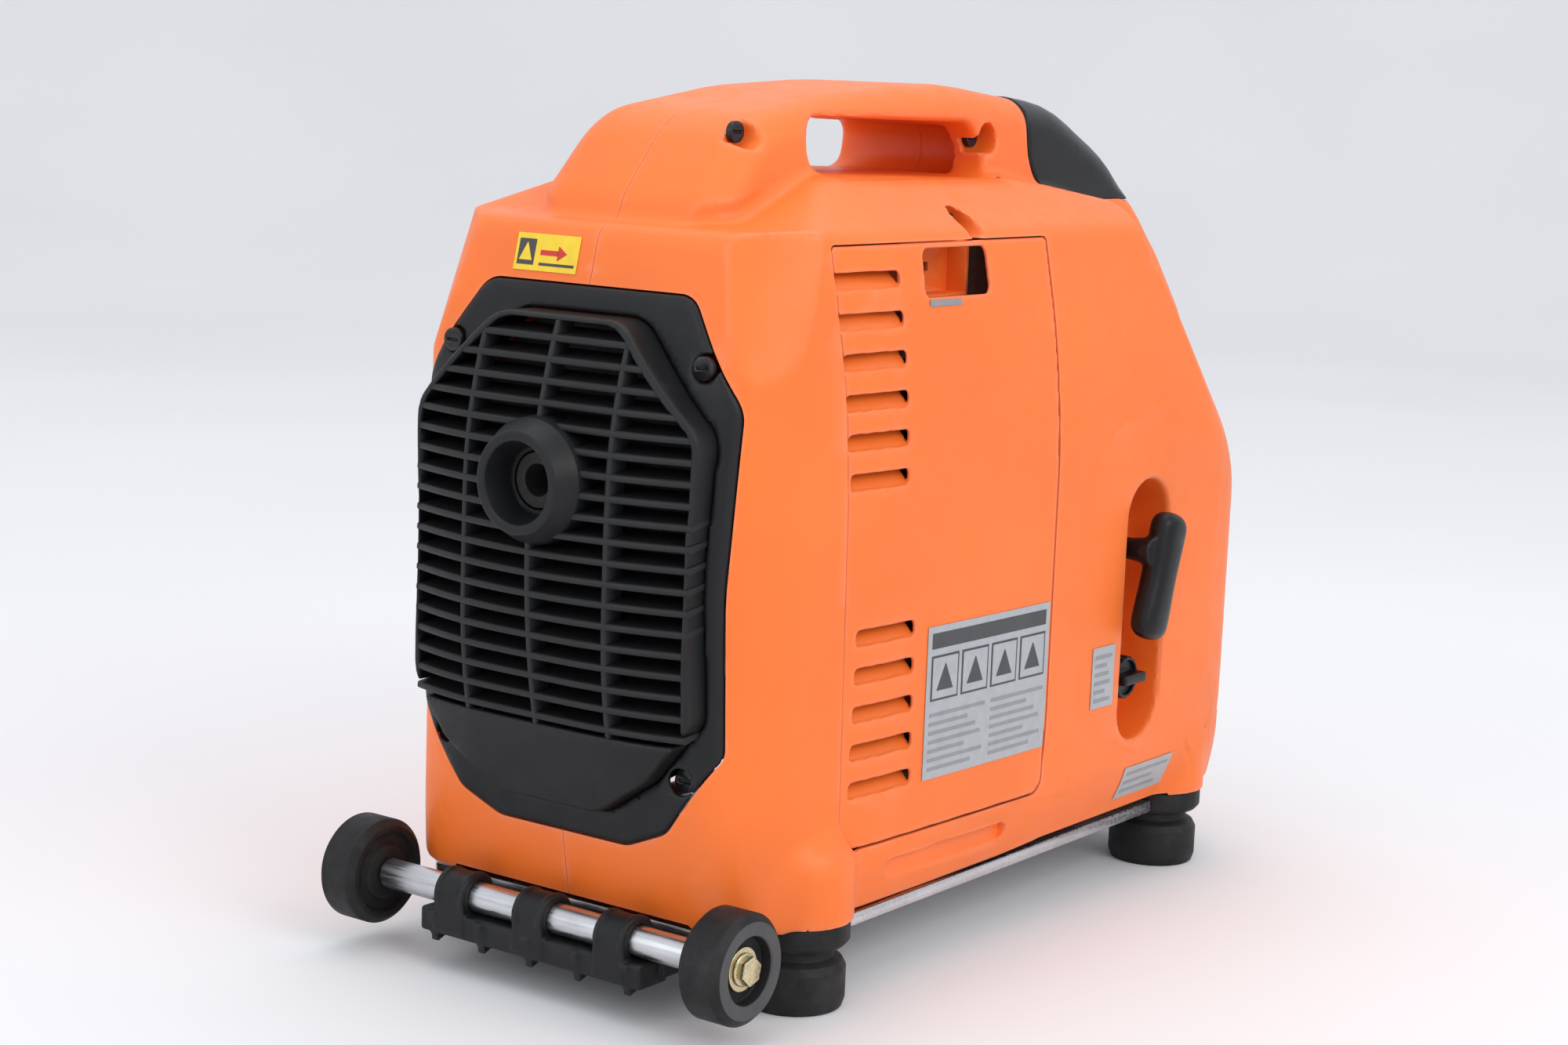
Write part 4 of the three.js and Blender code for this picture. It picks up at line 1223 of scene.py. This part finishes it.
SMALL_LABEL = (70, 128, 95, 166)
SKIRT_PALE_PATCH = (122, 60, 182, 82)
CHOKE_MARK = (-106, 381, -75, 384.5)


def make_plate(name, outline, margin, top, *lines):
    """A foil plate with lines of print, held by the casing."""
    x0, z0, x1, z1 = outline
    skin = side_skin(*outline)
    parts = [oblong(skin, "label", BASE_LIFT, x0, z0, x1, z1)]
    parts += print_lines(skin, "print_grey", x0 + margin, x1 - margin, z1 - top, *lines, PRINT_LIFT)
    sticker(name, parts, "machine", "label")


def make_small_labels():
    """The plates on the starter side: a small one, a long pale grey patch with bars of print on the
    skirt and the choke's mark.
    """
    make_plate("small_label", SMALL_LABEL, 3, 5, 6, 5.4, 2.4)
    # A pale grey patch with bars of print on the lower skirt, under the starter pocket.
    make_plate("skirt_pale_patch", SKIRT_PALE_PATCH, 4, 4, 3, 6, 2.2)
    mark = oblong(side_skin(*CHOKE_MARK), "print_grey", BASE_LIFT, *CHOKE_MARK)
    sticker("choke_mark", [mark], "cover", "label")


for make in (make_service_cover, make_bezel, make_grille, make_mouth, make_heat_shield, make_lid,
             make_feet, make_axle, make_bracket, make_grip, make_knob, make_rope, make_info_label,
             make_warning_label, make_small_labels):
    make()
for settings in REFINED:
    refine(*settings)

# ------------------------ stage
CAMERA_PLACE = (-1386.1, -974.1, 506.3)
CAMERA_YAW = 53.8
CAMERA_PITCH = 9.2
CAMERA_ROLL = 2.2
CAMERA_LENS = 64.2
SENSOR = 36


def make_camera():
    camera = bpy.data.cameras.new("camera")
    camera.lens = CAMERA_LENS
    camera.sensor_width = SENSOR
    camera.clip_end = 50
    holder = add_object("camera", camera)
    turn = Matrix.Rotation(math.radians(-CAMERA_YAW), 4, "Z")
    tilt = Matrix.Rotation(math.radians(90 - CAMERA_PITCH), 4, "X")
    roll = Matrix.Rotation(math.radians(CAMERA_ROLL), 4, "Z")
    holder.matrix_world = Matrix.Translation(spot(*CAMERA_PLACE)) @ turn @ tilt @ roll
    bpy.context.scene.camera = holder


FLOOR_LOW = (0.79, 0.79, 0.8)
FLOOR_HIGH = (0.82, 0.82, 0.825)
FLOOR_FLAT, FLAT_ROWS = 4.0, 10
FLOOR_RISE, RISE_ROWS = 2.5, 29
FLOOR_SEGMENTS = 96


def make_floor():
    """A pale sweep: a floor that curves up far behind the machine on every side."""
    segments = FLOOR_SEGMENTS
    mesh = bpy.data.meshes.new("floor")
    rows = [(0.0, 0.0)]
    rows += [(FLOOR_FLAT * k / FLAT_ROWS, 0.0) for k in range(1, FLAT_ROWS + 1)]
    rows += [(FLOOR_FLAT + FLOOR_RISE * math.sin(t), FLOOR_RISE * (1 - math.cos(t)))
             for t in (math.pi / 2 * k / RISE_ROWS for k in range(1, RISE_ROWS + 1))]
    points = [(0.0, 0.0, 0.0)]
    for radius, height in rows[1:]:
        points += [(radius * math.cos(a), radius * math.sin(a), height) for a in whole_turn(segments)]
    faces = [(0, 1 + k, 1 + (k + 1) % segments) for k in range(segments)]
    for row in range(len(rows) - 2):
        for k in range(segments):
            a, b = 1 + row * segments + k, 1 + row * segments + (k + 1) % segments
            faces.append((a, a + segments, b + segments, b))
    mesh.from_pydata(points, [], faces)
    mesh.shade_smooth()
    floor = add_object("floor", mesh)
    look = Look("floor", FLOOR_LOW, 0.85, specular=0.1)
    look.use("Base Color", look.mix(look.spread(look.noise(1.3, 2), 0, 1), FLOOR_LOW, FLOOR_HIGH))
    mesh.materials.append(look.material)


MIDDLE = (0, 0, 0.25)
# Each lamp: its name, place, size, power and colour. All face the machine's middle.
LAMPS = (
    ("key", (-0.6, -2.6, 1.9), (1.8, 1.4), 26, (1.0, 0.97, 0.93)),
    ("rear_fill", (-2.9, 0.7, 1.3), (1.4, 1.6), 13, (0.97, 0.98, 1.0)),
    ("top", (0.2, 0.2, 2.8), (2.2, 2.2), 16, (1, 1, 1)),
)
ROOM_COLOR = (0.93, 0.95, 1.0, 1)
ROOM_STRENGTH = 0.98


def make_lamp(name, at, size, power, color):
    lamp = bpy.data.lights.new(name, "AREA")
    lamp.shape = "RECTANGLE"
    lamp.size, lamp.size_y = size
    lamp.energy = power
    lamp.color = color
    holder = add_object(name, lamp)
    holder.location = at
    aim = Vector(MIDDLE) - Vector(at)
    holder.rotation_euler = aim.to_track_quat("-Z", "Y").to_euler()


def make_world():
    world = bpy.data.worlds.new("studio")
    world.use_nodes = True
    background = world.node_tree.nodes["Background"]
    background.inputs["Color"].default_value = ROOM_COLOR
    background.inputs["Strength"].default_value = ROOM_STRENGTH
    bpy.context.scene.world = world


make_camera()
make_floor()
make_world()
for settings in LAMPS:
    make_lamp(*settings)
bpy.context.scene.view_settings.view_transform = "Standard"
